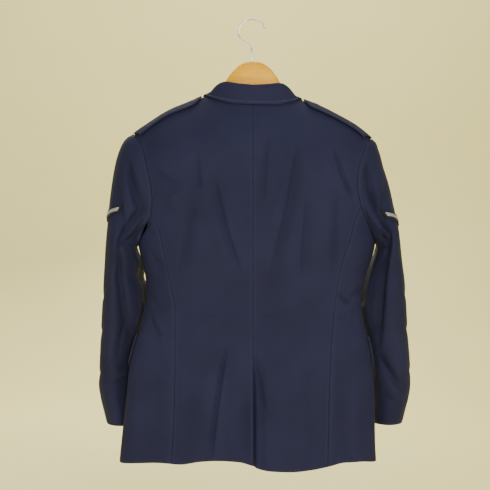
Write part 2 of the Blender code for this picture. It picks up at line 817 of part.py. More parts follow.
def lapel_surface(side):
    """Surface of the front under a lapel, from the roll line out to the lapel's edge."""

    def surface(across, row):
        lower = LAPEL_LOWER[side]
        roll_drop = blend(LAPEL_TOP + lower, LAPEL_END[side] - LAPEL_SLANT, row)
        edge_drop = blend(LAPEL_TIP + lower, LAPEL_END[side], row)
        roll = column(ROLL, "out", roll_drop)
        edge = column(ROLL, "out", edge_drop) + column(LAPEL_WIDTH, "wide", row)
        drop = blend(roll_drop, edge_drop, across)
        out = blend(roll - LAPEL_PAST_ROLL, edge, across)
        return body(side, -body_angle(side, out, drop), drop)

    return surface


def make_lapels():
    """Turned-back lapels, each a wall that swells softly off its front."""
    for side, name in SIDES.items():
        across, down = np.linspace(0.0, 1.0, 7), np.linspace(0.0, 1.0, 13)
        swell = LAPEL_SWELL * np.sin(math.pi * across)[:, None] * (1.0 - down**2)[None, :]
        make_wall(f"lapel_{name}", lapel_surface(side), across, down, -side, raised=LAP + swell)


def on_shoulder(side, out, back):
    """Point of the body near the ridge, from its distance out and its distance behind the ridge."""
    drop = ridge(side, out)
    for _ in range(3):
        angle = body_angle(side, out, drop)
        lift = np.abs(powered(np.sin(angle), 2.0 / BODY_ROUND))
        depth = np.where(back > 0.0, column(BODY, "back", drop), column(BODY, "front", drop))
        drop = ridge(side, out) + fall_at(np.abs(back) / (lift * depth), out)
    return points(side * out, back, -drop)


def shoulder_normal(side, out, back):
    """Outward normal of the body near the ridge."""
    step = SHOULDER_STEP
    along_out = on_shoulder(side, out + step, back) - on_shoulder(side, out - step, back)
    along_back = on_shoulder(side, out, back + step) - on_shoulder(side, out, back - step)
    return unit(np.cross(along_out, along_back)) * side


def collar_guides(side, share):
    """Neck seam, fold top and outer edge of the collar on one side."""
    lower = column(COLLAR_DROP_RIGHT, "drop", share) if side == RIGHT else 0.0
    guides = []
    for rows in (COLLAR_NECK, COLLAR_FOLD):
        out, back, drop = (column(rows, name, share) for name in ("out", "back", "drop"))
        guides.append(points(side * out, back, -drop - lower))
    out, back = column(COLLAR_EDGE, "out", share), column(COLLAR_EDGE, "back", share)
    edge = on_shoulder(side, out, back) + shoulder_normal(side, out, back) * (LAP + COLLAR_EASE)
    return guides[0], guides[1], edge


def collar_side(side, share, way):
    """Collar surface on one side: up the stand, over the fold and down the fall."""
    neck, fold, edge = collar_guides(side, share)
    radius = column(COLLAR_RADIUS, "radius", share)[..., None]
    away = unit((edge - neck) * np.array((1.0, 1.0, 0.0)))
    rise = fold - neck
    rise = unit(rise - away * np.sum(rise * away, axis=-1, keepdims=True))
    stops = [neck, fold - (away + rise) * radius, fold, fold + (away - rise) * radius, edge]
    place = column(COLLAR_PATH, "place", way)
    result = np.zeros(stops[0].shape)
    knots = COLLAR_PATH["way"]
    for axis in range(3):
        for index in np.ndindex(place.shape):
            values = {"way": knots, "value": np.array([stop[index][axis] for stop in stops])}
            result[index][axis] = column(values, "value", way[index])
    notch = np.clip(1.0 - np.abs(way - NOTCH_WAY) / NOTCH_HALF, 0.0, 1.0)
    notch = notch * ease((share - NOTCH_FROM) / (1.0 - NOTCH_FROM))
    result = result - points(0.0, 0.0, NOTCH_DEPTH * notch)
    out, back = side * result[..., 0], result[..., 1]
    upward = shoulder_normal(side, out, back)[..., 2]
    floor = on_shoulder(side, out, back)[..., 2] + (LAP + COLLAR_EASE) / np.clip(upward, LEAST_UPWARD, 1.0)
    on_fall = way > COLLAR_FOLD_WAY
    result[..., 2] = np.where(on_fall, np.maximum(result[..., 2], floor), result[..., 2])
    return result


def collar_surface(u, way):
    """Collar surface from the right front end (-1) round the neck to the left front end (+1)."""
    left = collar_side(LEFT, np.abs(u), way)
    right = collar_side(RIGHT, np.abs(u), way)
    return np.where(u[..., None] >= 0.0, left, right)


def make_collar():
    """Collar as one wall from front end to front end."""
    half = np.array(COLLAR_COLUMNS)
    u, way = np.meshgrid(np.concatenate((-half[:0:-1], half)), np.array(COLLAR_ROWS), indexing="ij")
    outer = collar_surface(u, way)
    normal = normals(collar_surface, u, way, 1)
    wall_object("collar", outer, outer - normal * CLOTH, False)


# Sleeves


def armhole_point(side, turn):
    """Point of the armhole at a turn: 0 at the shoulder tip, 90 degrees behind, 180 at the underarm."""
    behind = np.sin(turn) >= 0.0
    tip = BACK_EDGE[side]["drop"][0]
    drop = blend(UNDERARM[side], tip, (1.0 + np.cos(turn)) / 2.0)
    low = UNDERARM[side]
    angles = []
    for rows, corner, panel_angle in (
        (BACK_EDGE[side], BACK_CORNER[side], back_panel_angle(side, BACK_CORNER[side])),
        (FRONT_EDGE[side], FRONT_CORNER[side], -front_panel_angle(side, FRONT_CORNER[side])),
    ):
        upper = body_angle(side, column(rows, "out", drop), drop)
        lower = panel_angle * np.sqrt(np.clip((low - drop) / (low - corner), 0.0, 1.0))
        angles.append(np.where(drop < corner, upper, lower))
    return body(side, np.where(behind, angles[0], -angles[1]), drop)


def ring_point(side, turn, lean, reach, middle, depth, pivot):
    """Point of a sleeve ring in a plane that leans out from the armhole round the pivot."""
    radius = blend(PIVOT_CLEAR, reach, (1.0 + np.cos(turn)) / 2.0)
    y = middle + depth * powered(np.sin(turn), SLEEVE_SQUARE)
    return points(side * (pivot[0] + radius * np.sin(lean)), y, pivot[1] + radius * np.cos(lean))


def sleeve_surface(side):
    """Surface of a sleeve, by the turn round it and the way down from the armhole to the cuff."""
    outline = SLEEVE_OUTLINE[side]
    inner = f"inner_{SIDES[side]}"
    tip = outline["drop"][0]
    bend = UNDERARM[side] + PIVOT_CLEAR
    pivot = (column(SLEEVE, inner, bend) - PIVOT_CLEAR, -bend)
    first_reach = np.hypot(outline["outer"][0] - pivot[0], bend - tip)
    first_lean = np.arctan2(outline["outer"][0] - pivot[0], bend - tip)

    def fan(turn, way):
        drop = blend(tip, bend, powered(way, FAN_POWER))
        outer = column(outline, "outer", drop)
        lean = np.arctan2(outer - pivot[0], bend - drop)
        reach = np.hypot(outer - pivot[0], bend - drop)
        spread = ease((lean - first_lean) / (math.pi / 2 - first_lean))
        depth = blend(ARMHOLE_DEPTH, column(SLEEVE, "depth", bend), spread)
        middle = column(SLEEVE, "middle", bend) * spread
        start = ring_point(side, turn, first_lean, first_reach, 0.0, ARMHOLE_DEPTH, pivot)
        sewn = armhole_point(side, turn) + points(side * SEAM_GAP, 0.0, 0.0) - start
        fade = np.clip(1.0 - (lean - first_lean) / FAN_FADE, 0.0, None)[..., None] ** 2
        return ring_point(side, turn, lean, reach, middle, depth, pivot) + sewn * fade

    def tube(turn, way):
        drop = blend(bend, CUFF[side], way)
        outer, near = column(outline, "outer", drop), column(SLEEVE, inner, drop)
        outward = (1.0 + np.cos(turn)) / 2.0
        reach = column(SLEEVE, "depth", drop) * powered(np.sin(turn), SLEEVE_SQUARE)
        y = column(SLEEVE, "middle", drop) + reach - column(SLEEVE, "skew", drop) * (1.0 - outward)
        return points(side * blend(near, outer, outward), y, -drop)

    def surface(turn, way):
        upper = fan(turn, np.minimum(way / FAN_SHARE, 1.0))
        lower = tube(turn, np.maximum((way - FAN_SHARE) / (1.0 - FAN_SHARE), 0.0))
        return np.where((way < FAN_SHARE)[..., None], upper, lower)

    return surface


def armhole_turns(side):
    """Turns round the armhole at which the body's panels have points, from the shoulder tip round."""
    low, tip = UNDERARM[side], BACK_EDGE[side]["drop"][0]

    def turn_at(drop):
        return np.arccos(np.clip(2.0 * (low - drop) / (low - tip) - 1.0, -1.0, 1.0))

    behind = turn_at(upper_drops(side, BACK_EDGE, BACK_CORNER))
    before = math.tau - turn_at(upper_drops(side, FRONT_EDGE, FRONT_CORNER))
    corners = back_panel_angle(side, BACK_CORNER[side]), front_panel_angle(side, FRONT_CORNER[side])
    angles = blend(*corners, np.linspace(0.0, 1.0, SIDE_COLUMNS))[1:-1]
    under = turn_at(armhole_floor(side, angles))
    under = np.where(angles > 0.0, under, math.tau - under)
    return np.concatenate((behind, under, before[:0:-1]))


def make_sleeves():
    """Top sleeve and under sleeve of both sides, split along their two seams."""
    way = np.concatenate((np.linspace(0.0, FAN_SHARE, FAN_ROWS), np.linspace(FAN_SHARE, 1.0, TUBE_ROWS)[1:]))
    for side, name in SIDES.items():
        surface = sleeve_surface(side)
        turns = armhole_turns(side)
        hind, fore = UPPER_ROWS + 1, UPPER_ROWS + SIDE_COLUMNS - 2
        ends = np.array((SEAM_ANGLE, -SEAM_ANGLE))
        under = turns[hind : fore + 1].copy()
        top = np.concatenate((turns[fore:] - math.tau, turns[: hind + 1]))
        for span in (under, top):
            span[[0, -1]] += ends
        spans = {"under": under, "top": top}
        for part, span in spans.items():
            turn, down = np.meshgrid(span, way, indexing="ij")
            normal = normals(surface, turn, down, -side)
            ring = normal[:, 0]
            limit = np.abs(armhole_normal_x(side, span))
            ring[:, 0] = side * np.minimum(side * ring[:, 0], limit)
            normal = unit(normal)
            place = surface(turn, down)
            fade = ease(down / FOLDS_FROM)
            outer = place + normal * (relief(place, normal) * fade)[..., None]
            wall_object(f"sleeve_{part}_{name}", outer, outer - normal * CLOTH, side > 0)


def armhole_normal_x(side, turns):
    """How far the body's normal points out along X at the armhole."""
    place = armhole_point(side, turns)
    back = np.where(np.sin(turns) >= 0.0, 1.0, -1.0)
    angle = body_angle(side, np.abs(place[:, 0]), -place[:, 2]) * back

    def surface(u, v):
        return body(side, u, v)

    normal = normals(surface, angle, -place[:, 2], 1)
    return np.clip(np.abs(normal[:, 0]), 0.0, 1.0)


# Pieces that lie on the panels


def loop_surface(side):
    """Top of a shoulder loop, from the sleeve seam to its point, from its rear to its fore edge."""

    def sewn(back):
        out = np.full(np.shape(back), LOOP_SEWN)
        for _ in range(3):
            drop = -on_shoulder(side, out, back)[..., 2]
            behind, before = column(BACK_EDGE[side], "out", drop), column(FRONT_EDGE[side], "out", drop)
            out = np.minimum(LOOP_SEWN, np.where(back > 0.0, behind, before) - LOOP_SEWN_CLEAR)
        return out

    def surface(across, along):
        back = -LOOP_FORWARD - column(LOOP_WIDTH, "half", along) * across
        out = blend(sewn(back), LOOP_POINT, along)
        skin = on_shoulder(side, out, back)
        crest = -ridge(side, out)
        z = crest - (crest - skin[..., 2]) * LOOP_STIFF
        return points(side * out, back, z)

    return surface


def make_shoulder_loops():
    """Shoulder loops with their buttons."""
    across, along = np.linspace(-1.0, 1.0, 8), np.array(LOOP_ROWS)
    for side, name in SIDES.items():
        surface = loop_surface(side)
        raised = LOOP_LIFT + LOOP_CLOTH
        make_wall(f"shoulder_loop_{name}", surface, across, along, -side, raised, LOOP_CLOTH)
        spot, way = np.array([[LOOP_BUTTON_ACROSS]]), np.array([[LOOP_BUTTON_AT]])
        normal = normals(surface, spot, way, -side)[0, 0]
        seat = surface(spot, way)[0, 0] + normal * (raised + BUTTON_LIFT)
        make_button(f"loop_button_{name}", seat, normal, LOOP_BUTTON_RADIUS)


def make_rank_patches():
    """Bent bands on the upper sleeves, on their outer side."""
    for side, name in SIDES.items():
        surface = sleeve_surface(side)
        turns = np.linspace(-PATCH_REACH, PATCH_REACH, 13)
        ways = np.linspace(*PATCH_WAYS, 400)
        rows = np.linspace(-1.0, 1.0, 4)
        turn = np.repeat(turns[:, None], len(rows), axis=1)
        rise = PATCH_RISE * np.abs(turns) / PATCH_REACH
        drop = PATCH_DROP[side] - rise[:, None] + PATCH_HALF_HEIGHT * rows[None, :]
        way = np.zeros(turn.shape)
        for i, angle in enumerate(turns):
            line = -surface(np.full(ways.shape, angle), ways)[:, 2]
            way[i] = np.interp(drop[i], line, ways)
        normal = normals(surface, turn, way, -side)
        skin = surface(turn, way)
        outer = skin + normal * (relief(skin, normal) + PATCH_LIFT + PATCH_CLOTH)[..., None]
        wall_object(f"rank_patch_{name}", outer, outer - normal * PATCH_CLOTH, side > 0, PATCH_FINISH)


def flap_surface(side):
    """Body surface under a pocket flap, from its rear edge to its fore edge, with rounded lower corners."""

    def surface(across, row):
        angle = blend(FLAP_REAR, FLAP_FORE, across)
        nearest = np.minimum(across, 1.0 - across) * FLAP_LENGTH
        short = np.clip(1.0 - nearest / FLAP_CORNER, 0.0, 1.0)
        height = FLAP_HEIGHT - FLAP_CORNER * (1.0 - np.sqrt(np.clip(1.0 - short**2, 0.0, 1.0)))
        return body(side, angle, FLAP_TOP[side] + height * row)

    return surface


def make_pocket_flaps():
    """Flaps that lie on the fronts and side panels."""
    across = np.array(FLAP_COLUMNS)
    for side, name in SIDES.items():
        flap = flap_surface(side)
        make_wall(f"pocket_flap_{name}", flap, across, np.linspace(0.0, 1.0, 5), side, raised=LAP + FLAP_EASE)


def make_button(name, seat, axis, radius, segments=18):
    """Domed metal button turned round its axis, with its flat back at the seat."""
    outs, ups = BUTTON_PROFILE["out"] * radius, BUTTON_PROFILE["up"] * radius
    turn = Vector((0, 0, 1)).rotation_difference(Vector(axis)).to_matrix()
    vertices = [Vector((0, 0, ups[0]))]
    for out, up in zip(outs[1:-1], ups[1:-1]):
        for step in range(segments):
            angle = math.tau * step / segments
            vertices.append(Vector((out * math.cos(angle), out * math.sin(angle), up)))
    vertices.append(Vector((0, 0, ups[-1])))
    rings = len(outs) - 2
    faces = []
    for step in range(segments):
        after = (step + 1) % segments
        faces.append((0, 1 + after, 1 + step))
        for ring in range(rings - 1):
            low, high = 1 + ring * segments, 1 + (ring + 1) * segments
            faces.append((low + step, low + after, high + after, high + step))
        last = 1 + (rings - 1) * segments
        faces.append((last + step, last + after, len(vertices) - 1))
    placed = [turn @ vertex + Vector(seat) for vertex in vertices]
    make_object(name, placed, faces, BUTTON_FINISH)


def make_front_buttons():
    """Column of buttons on the left front, at centre front."""
    def skin(angle, drop):
        return body(LEFT, angle, drop)

    angle = np.full(len(FRONT_BUTTON_DROPS), -math.pi / 2)
    seats = skin(angle, np.array(FRONT_BUTTON_DROPS))
    axes = normals(skin, angle, np.array(FRONT_BUTTON_DROPS), 1)
    for number, (seat, axis) in enumerate(zip(seats, axes), start=1):
        axis = axis * -np.sign(axis[1])
        make_button(f"front_button_{number}", seat + axis * BUTTON_LIFT, axis, FRONT_BUTTON_RADIUS)


# Hanger


def hanger_top(x):
    """Drop of the wood's upper edge: its dome at the neck, then just under the shoulders."""
    side = LEFT if x >= 0 else RIGHT
    dome = float(column(HANGER_TOP, "drop", abs(x)))
    if side == RIGHT:
        dome += HANGER_LOWER_RIGHT * float(ease((abs(x) - HANGER_LOWER_FROM) / HANGER_LOWER_RUN))
    under_cloth = float(ridge(side, abs(x))) + LAP + HANGER_EASE
    if abs(x) < HANGER_DOME_HALF:
        return dome
    return max(under_cloth, min(dome, under_cloth + HANGER_SLACK))


def make_hanger_wood():
    """Flat bowed wood with rounded edges and ends."""
    half = np.array((*HANGER_STATIONS, HANGER_TIP))
    stations = np.concatenate((-half[:0:-1], half))
    rings = []
    for x in stations:
        top, bottom = hanger_top(x), float(column(HANGER_BOTTOM, "drop", abs(x)))
        nearness = max(0.0, (abs(x) - HANGER_BEND) / (HANGER_TIP - HANGER_BEND))
        shrink = math.sqrt(1.0 - HANGER_END_SHARE * nearness**2)
        middle, tall = -(top + bottom) / 2, (bottom - top) / 2
        middle += tall * (1.0 - shrink) * HANGER_END_SINK
        ring = []
        for step in range(HANGER_SIDES):
            angle = math.tau * (step + 0.5) / HANGER_SIDES
            y = HANGER_HALF_THICK * float(powered(math.cos(angle), HANGER_SQUARE))
            z = middle + tall * shrink * float(powered(math.sin(angle), HANGER_OVAL))
            ring.append((x, y, z))
        rings.append(ring)
    return loft_object("hanger_wood", rings, WOOD_FINISH)


def loft_object(name, rings, finish):
    """Closed solid through rings of points, with flat ends."""
    sides = len(rings[0])
    vertices = [vertex for ring in rings for vertex in ring]
    faces = [tuple(range(sides))[::-1], tuple(range(len(vertices) - sides, len(vertices)))]
    for ring in range(len(rings) - 1):
        for step in range(sides):
            here, after = ring * sides + step, ring * sides + (step + 1) % sides
            faces.append((here, after, after + sides, here + sides))
    return make_object(name, vertices, faces, finish)


def bezier(start, lead, trail, end, share):
    """Point of a cubic curve between two ends with two leads."""
    rest = 1.0 - share
    return start * rest**3 + lead * 3 * share * rest**2 + trail * 3 * share**2 * rest + end * share**3


def hook_path():
    """Centre line of the hook's wire, from its tip over the crown to the foot of the stem."""
    middle = np.array(HOOK_MIDDLE)
    arc = [
        middle + HOOK_RADIUS * np.array((math.cos(angle), math.sin(angle)))
        for angle in np.linspace(HOOK_TIP, HOOK_LEAVES, 20)
    ]
    heading = np.array((math.sin(HOOK_LEAVES), -math.cos(HOOK_LEAVES)))
    stem_top = np.array((STEM_X, STEM_TOP))
    lead = arc[-1] + heading * HOOK_LEAD
    trail = stem_top + np.array(STEM_LEAD)
    bend = [bezier(arc[-1], lead, trail, stem_top, share) for share in np.linspace(0.0, 1.0, 10)[1:]]
    return arc + bend + [np.array((STEM_X, z)) for z in (STEM_MIDDLE, STEM_END)]


def make_hanger_hook():
    """Round wire along the hook's centre line."""
    path = hook_path()
    rings = []
    for place, point in enumerate(path):
        before, after = path[max(place - 1, 0)], path[min(place + 1, len(path) - 1)]
        along = (after - before) / np.linalg.norm(after - before)
        aside = np.array((along[1], -along[0]))
        ring = []
        for step in range(HOOK_SIDES):
            angle = math.tau * step / HOOK_SIDES
            shift = aside * WIRE * math.cos(angle)
            ring.append((point[0] + shift[0], WIRE * math.sin(angle), point[1] + shift[1]))
        rings.append(ring)
    return loft_object("hanger_hook", rings, HOOK_FINISH)


def cut_bore(wood):
    """Blind bore in the top of the wood for the hook's stem."""
    radius = WIRE + BORE_CLEAR
    angles = [math.tau * step / BORE_SIDES for step in range(BORE_SIDES)]
    rings = []
    for z in (STEM_END - BORE_CLEAR, BORE_TOP):
        rings.append([(STEM_X + radius * math.cos(angle), radius * math.sin(angle), z) for angle in angles])
    cutter = loft_object("bore_cutter", rings, WOOD_FINISH)
    cutter.hide_render = True
    cutter.display_type = "WIRE"
    bore = wood.modifiers.new("bore", "BOOLEAN")
    bore.object = cutter
    bore.operation = "DIFFERENCE"


def make_hanger():
    """Hook and wood, with a blind bore for the stem."""
    make_hanger_hook()
    cut_bore(make_hanger_wood())


def main():
    """Clear the scene and build every piece."""
    for old in list(bpy.data.objects):
        bpy.data.objects.remove(old)
    make_body()
    make_lapels()
    make_collar()
    make_sleeves()
    make_shoulder_loops()
    make_rank_patches()
    make_pocket_flaps()
    make_front_buttons()
    make_hanger()


main()
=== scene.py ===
"""Service dress jacket on a flat wooden hanger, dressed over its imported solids.

The jacket's panels, collar, lapels, sleeves, shoulder loops, patches and flaps are thin shells on the
same surfaces as their solids, with finer creases, seams, pressed edges and stitching. Lengths are
metres. +Z is up, +X is the wearer's left, -Y is the wearer's front, and a drop is a length below the
origin, which is the underside of the hook's crown.
"""

import math

import bpy
import numpy as np
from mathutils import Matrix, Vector


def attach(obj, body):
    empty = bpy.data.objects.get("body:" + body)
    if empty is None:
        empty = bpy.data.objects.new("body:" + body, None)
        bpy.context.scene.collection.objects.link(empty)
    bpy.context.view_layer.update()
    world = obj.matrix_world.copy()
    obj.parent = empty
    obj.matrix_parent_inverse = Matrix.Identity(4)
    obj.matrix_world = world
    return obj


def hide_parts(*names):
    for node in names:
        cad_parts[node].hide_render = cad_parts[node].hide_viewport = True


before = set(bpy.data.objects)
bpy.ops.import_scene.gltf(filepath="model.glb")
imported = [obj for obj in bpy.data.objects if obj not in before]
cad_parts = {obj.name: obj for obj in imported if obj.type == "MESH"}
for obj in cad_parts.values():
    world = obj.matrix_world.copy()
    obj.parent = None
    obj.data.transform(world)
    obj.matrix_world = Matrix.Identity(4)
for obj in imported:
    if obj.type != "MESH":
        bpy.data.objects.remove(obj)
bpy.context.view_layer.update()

LEFT = 1
RIGHT = -1
SIDES = {LEFT: "left", RIGHT: "right"}
BACK = 1
FRONT = -1

# Walls and gaps, where a gap below zero lets two shells meet with no light between them
CLOTH = 0.0020
SEAM_GAP = -0.0003
LAY_GAP = 0.0003
RIDGE_EASE = -0.0002
LAP = CLOTH + LAY_GAP

# Small steps for the slopes of a surface
SLOPE_STEP = 0.0001
SHOULDER_STEP = 0.0005


def table(names, *rows):
    """Columns of a small table by name."""
    values = np.array(rows, dtype=float)
    return {name: values[:, place] for place, name in enumerate(names.split())}


def stop_slopes(spans, rates):
    """Slopes of a smooth curve with no overshoot at its stops, from the straight slopes between them."""
    before, after = rates[:-1], rates[1:]
    turning = before * after <= 0.0
    first, second = 2.0 * spans[1:] + spans[:-1], spans[1:] + 2.0 * spans[:-1]
    mean = first / np.where(turning, 1.0, before) + second / np.where(turning, 1.0, after)
    inner = np.where(turning, 0.0, (first + second) / np.where(turning, 1.0, mean))
    return np.concatenate((rates[:1], inner, rates[-1:]))


def between(part, span, start, end, start_slope, end_slope):
    """Value of a cubic curve at a part of the way along a span."""
    rest = 1.0 - part
    curve = (1.0 + 2.0 * part) * rest**2 * start + part**2 * (3.0 - 2.0 * part) * end
    return curve + part * rest**2 * span * start_slope - part**2 * rest * span * end_slope


def column(rows, name, at):
    """Value of a column where the table's first column is `at`, on a smooth curve with no overshoot."""
    knots, values = next(iter(rows.values())), rows[name]
    spans = np.diff(knots)
    slopes = stop_slopes(spans, np.diff(values) / spans)
    at = np.asarray(at, dtype=float)
    held = np.clip(at, knots[0], knots[-1])
    place = np.clip(np.searchsorted(knots, held) - 1, 0, len(spans) - 1)
    part = (held - knots[place]) / spans[place]
    ends = values[place], values[place + 1], slopes[place], slopes[place + 1]
    past = at - held
    return between(part, spans[place], *ends) + past * np.where(past < 0.0, slopes[0], slopes[-1])


def blend(first, second, share):
    """Straight blend from first to second."""
    return first * (1.0 - share) + second * share


def ease(share):
    """Soft step from 0 to 1."""
    share = np.clip(share, 0.0, 1.0)
    return share * share * (3.0 - 2.0 * share)


def points(x, y, z):
    """One array of points from three arrays of coordinates."""
    return np.stack(np.broadcast_arrays(x, y, z), axis=-1)


def unit(vectors):
    """Vectors of length one."""
    return vectors / np.linalg.norm(vectors, axis=-1, keepdims=True)


def powered(value, power):
    """Power that keeps the sign."""
    return np.sign(value) * np.abs(value) ** power


# Body: half widths of the outline, and depths behind and in front of its widest line
BODY = table(
    "drop left right middle back front taper",
    (0.12, 0.3, 0.3, 0, 0.078, 0.06, 0), (0.24, 0.285, 0.29, 0, 0.08, 0.062, 0),
    (0.3, 0.265, 0.27, 0, 0.08, 0.066, 0), (0.35, 0.25, 0.259, 0, 0.08, 0.07, 0),
    (0.405, 0.241, 0.253, 0, 0.079, 0.072, 0.02), (0.466, 0.2335, 0.2495, 0.002, 0.076, 0.072, 0.05),
    (0.5, 0.226, 0.24, 0.004, 0.071, 0.07, 0.07), (0.54, 0.218, 0.227, 0.006, 0.065, 0.066, 0.08),
    (0.585, 0.22, 0.221, 0.008, 0.061, 0.063, 0.09), (0.63, 0.23, 0.229, 0.011, 0.058, 0.064, 0.11),
    (0.7, 0.249, 0.242, 0.015, 0.056, 0.066, 0.14), (0.775, 0.257, 0.247, 0.017, 0.057, 0.068, 0.17),
    (0.86, 0.266, 0.248, 0.019, 0.06, 0.068, 0.19), (0.93, 0.273, 0.252, 0.02, 0.062, 0.068, 0.2),
)
BODY_ROUND = 2.5
TAPER_POWER = 1.5

# Shoulder ridge, where the back and front panels meet over the hanger
RIDGE = table(
    "out left right",
    (0, 0.13, 0.13), (0.03, 0.1325, 0.1345), (0.06, 0.142, 0.147), (0.09, 0.156, 0.163),
    (0.13, 0.174, 0.179), (0.17, 0.191, 0.199), (0.21, 0.216, 0.222), (0.243, 0.239, 0.2485),
    (0.29, 0.28, 0.29),
)
SHOULDER_FALL = 0.140
NECK_ROUND = 1.5
TIP_ROUND = 2.0
SHOULDER_TIP = 0.243
NECK_HALF = 0.088
NECK_SINK = table("out sink", (0.0, 0.040), (0.03, 0.0375), (0.06, 0.021), (NECK_HALF, 0.0), (0.30, 0.0))

# Outer edge of each back panel: the armhole down to its corner, then the side-back seam
BACK_EDGE = {
    LEFT: table(
        "drop out",
        (0.239, 0.243), (0.25, 0.2335), (0.27, 0.2225), (0.309, 0.212), (0.356, 0.203), (0.38, 0.2015),
        (0.403, 0.204), (0.431, 0.189), (0.48, 0.178), (0.541, 0.165), (0.6, 0.155), (0.7, 0.155),
        (0.82, 0.157), (0.9, 0.162),
    ),
    RIGHT: table(
        "drop out",
        (0.2485, 0.243), (0.26, 0.23), (0.284, 0.221), (0.309, 0.212), (0.335, 0.2085), (0.36, 0.21),
        (0.385, 0.2155), (0.415, 0.204), (0.45, 0.195), (0.5, 0.178), (0.592, 0.163), (0.65, 0.157),
        (0.744, 0.152), (0.9, 0.148),
    ),
}
# Outer edge of each front panel: the armhole down to its corner, then the side-front seam
FRONT_EDGE = {
    LEFT: table(
        "drop out",
        (0.239, 0.243), (0.25, 0.229), (0.275, 0.211), (0.31, 0.198), (0.36, 0.19), (0.4, 0.192),
        (0.428, 0.201), (0.48, 0.188), (0.56, 0.176), (0.65, 0.18), (0.78, 0.19), (0.91, 0.198),
    ),
    RIGHT: table(
        "drop out",
        (0.2485, 0.243), (0.26, 0.229), (0.285, 0.212), (0.315, 0.2), (0.36, 0.194), (0.4, 0.198),
        (0.426, 0.21), (0.48, 0.196), (0.56, 0.18), (0.65, 0.18), (0.78, 0.186), (0.91, 0.188),
    ),
}
HEM_LEVEL = 0.900
UPPER_ROWS = 9
SHOULDER_ROWS_POWER = 1.8
HEM_ROWS = (0.950, 0.980)
SIDE_COLUMNS = 8
BACK_COLUMNS = (0.0, 0.09, 0.17, 0.23, 0.29)
SHOULDER_COLUMNS = 10
BACK_CORNER = {LEFT: 0.403, RIGHT: 0.385}
FRONT_CORNER = {LEFT: 0.428, RIGHT: 0.426}
UNDERARM = {LEFT: 0.466, RIGHT: 0.462}

# Hem, from centre back and from centre front out to the side
BACK_HEM = {
    LEFT: table(
        "out drop",
        (0, 0.8985), (0.026, 0.8925), (0.07, 0.89), (0.104, 0.892), (0.144, 0.898), (0.184, 0.896),
        (0.272, 0.903),
    ),
    RIGHT: table(
        "out drop",
        (-0.032, 0.887), (-0.006, 0.896), (0, 0.901), (0.018, 0.908), (0.043, 0.911), (0.075, 0.912),
        (0.112, 0.909), (0.152, 0.902), (0.182, 0.896), (0.214, 0.896), (0.252, 0.901),
    ),
}
FRONT_HEM = {
    LEFT: table("out drop", (-0.02, 0.912), (0.10, 0.910), (0.20, 0.906), (0.272, 0.903)),
    RIGHT: table("out drop", (-0.02, 0.910), (0.10, 0.908), (0.20, 0.904), (0.252, 0.901)),
}

# Centre vent of the back, where the left panel lies over the right one
CENTRE_GAP = -0.0004
VENT_TOP = 0.695
VENT_UNDERLAP = 0.032
VENT_SUNK = 0.014
VENT_FLUSH = 0.026
VENT_SLOPE = 0.012
VENT_SINK = 0.030
VENT_EASE = 0.0007

# Front opening: the roll line of the lapel, then the straight edge, then the rounded hem corner
ROLL = table(
    "drop out",
    (0.15, 0.089), (0.2, 0.079), (0.3, 0.053), (0.4, 0.024), (0.48, -0.006), (0.51, -0.018), (0.6, -0.018),
    (0.86, -0.018), (0.885, -0.014), (0.9, -0.004), (0.91, 0.018),
)
FRONT_UNDERLAP_FADE = (0.030, 0.050)
FRONT_UNDERLAP_TOP = 0.40
FRONT_UNDERLAP_RISE = 0.05
FRONT_EASE = 0.0006

# Lapels: where they start on the roll line, how wide they are across the chest, where they end
LAPEL_TOP = 0.2140
LAPEL_TIP = 0.2620
LAPEL_END = {LEFT: 0.500, RIGHT: 0.458}
LAPEL_LOWER = {LEFT: 0.0, RIGHT: 0.0068}
LAPEL_WIDTH = table("share wide", (0.0, 0.067), (0.2, 0.064), (0.5, 0.045), (0.8, 0.020), (1.0, 0.005))
LAPEL_SWELL = 0.0025
LAPEL_PAST_ROLL = 0.0012
LAPEL_SLANT = 0.004

# Turned-down collar: neck seam, fold and outer edge, from centre back to the front end
COLLAR_NECK = table(
    "share out back drop",
    (0, 0, 0.0405, 0.1695), (0.2, 0.0285, 0.0385, 0.168), (0.4, 0.057, 0.0255, 0.1615),
    (0.55, 0.0795, 0.008, 0.1535), (0.65, 0.0808, -0.013, 0.165), (0.8, 0.0753, -0.029, 0.188),
    (1, 0.07, -0.0385, 0.212),
)
COLLAR_FOLD = table(
    "share out back drop",
    (0, 0, 0.046, 0.143), (0.2, 0.029, 0.0435, 0.14), (0.4, 0.058, 0.03, 0.1345),
    (0.55, 0.08, 0.009, 0.145), (0.65, 0.086, -0.019, 0.158), (0.8, 0.082, -0.036, 0.183),
    (1, 0.075, -0.047, 0.211),
)
COLLAR_EDGE = table(
    "share out back",
    (0, 0, 0.052), (0.2, 0.034, 0.049), (0.4, 0.068, 0.035), (0.55, 0.092, 0.013), (0.65, 0.102, -0.006),
    (0.8, 0.112, -0.023), (1, 0.118, -0.037),
)
COLLAR_RADIUS = table("share radius", (0.0, 0.0032), (0.6, 0.0030), (1.0, 0.0025))
COLLAR_DROP_RIGHT = table("share drop", (0.0, 0.0), (0.4, 0.003), (0.6, 0.0068), (1.0, 0.0068))
COLLAR_PATH = table("way place", (0.0, 0.0), (0.25, 1.0), (0.35, 2.0), (0.45, 3.0), (1.0, 4.0))
COLLAR_COLUMNS = (0.0, 0.11, 0.22, 0.33, 0.44, 0.53, 0.58, 0.61, 0.64, 0.70, 0.78, 0.86, 0.93, 1.0)
COLLAR_ROWS = (0.0, 0.20, 0.29, 0.35, 0.41, 0.50, 0.66, 0.82, 1.0)
COLLAR_FOLD_WAY = 0.36
COLLAR_EASE = 0.0015
NOTCH_DEPTH = 0.016
NOTCH_WAY = 0.82
NOTCH_HALF = 0.18
NOTCH_FROM = 0.86
LEAST_UPWARD = 0.3

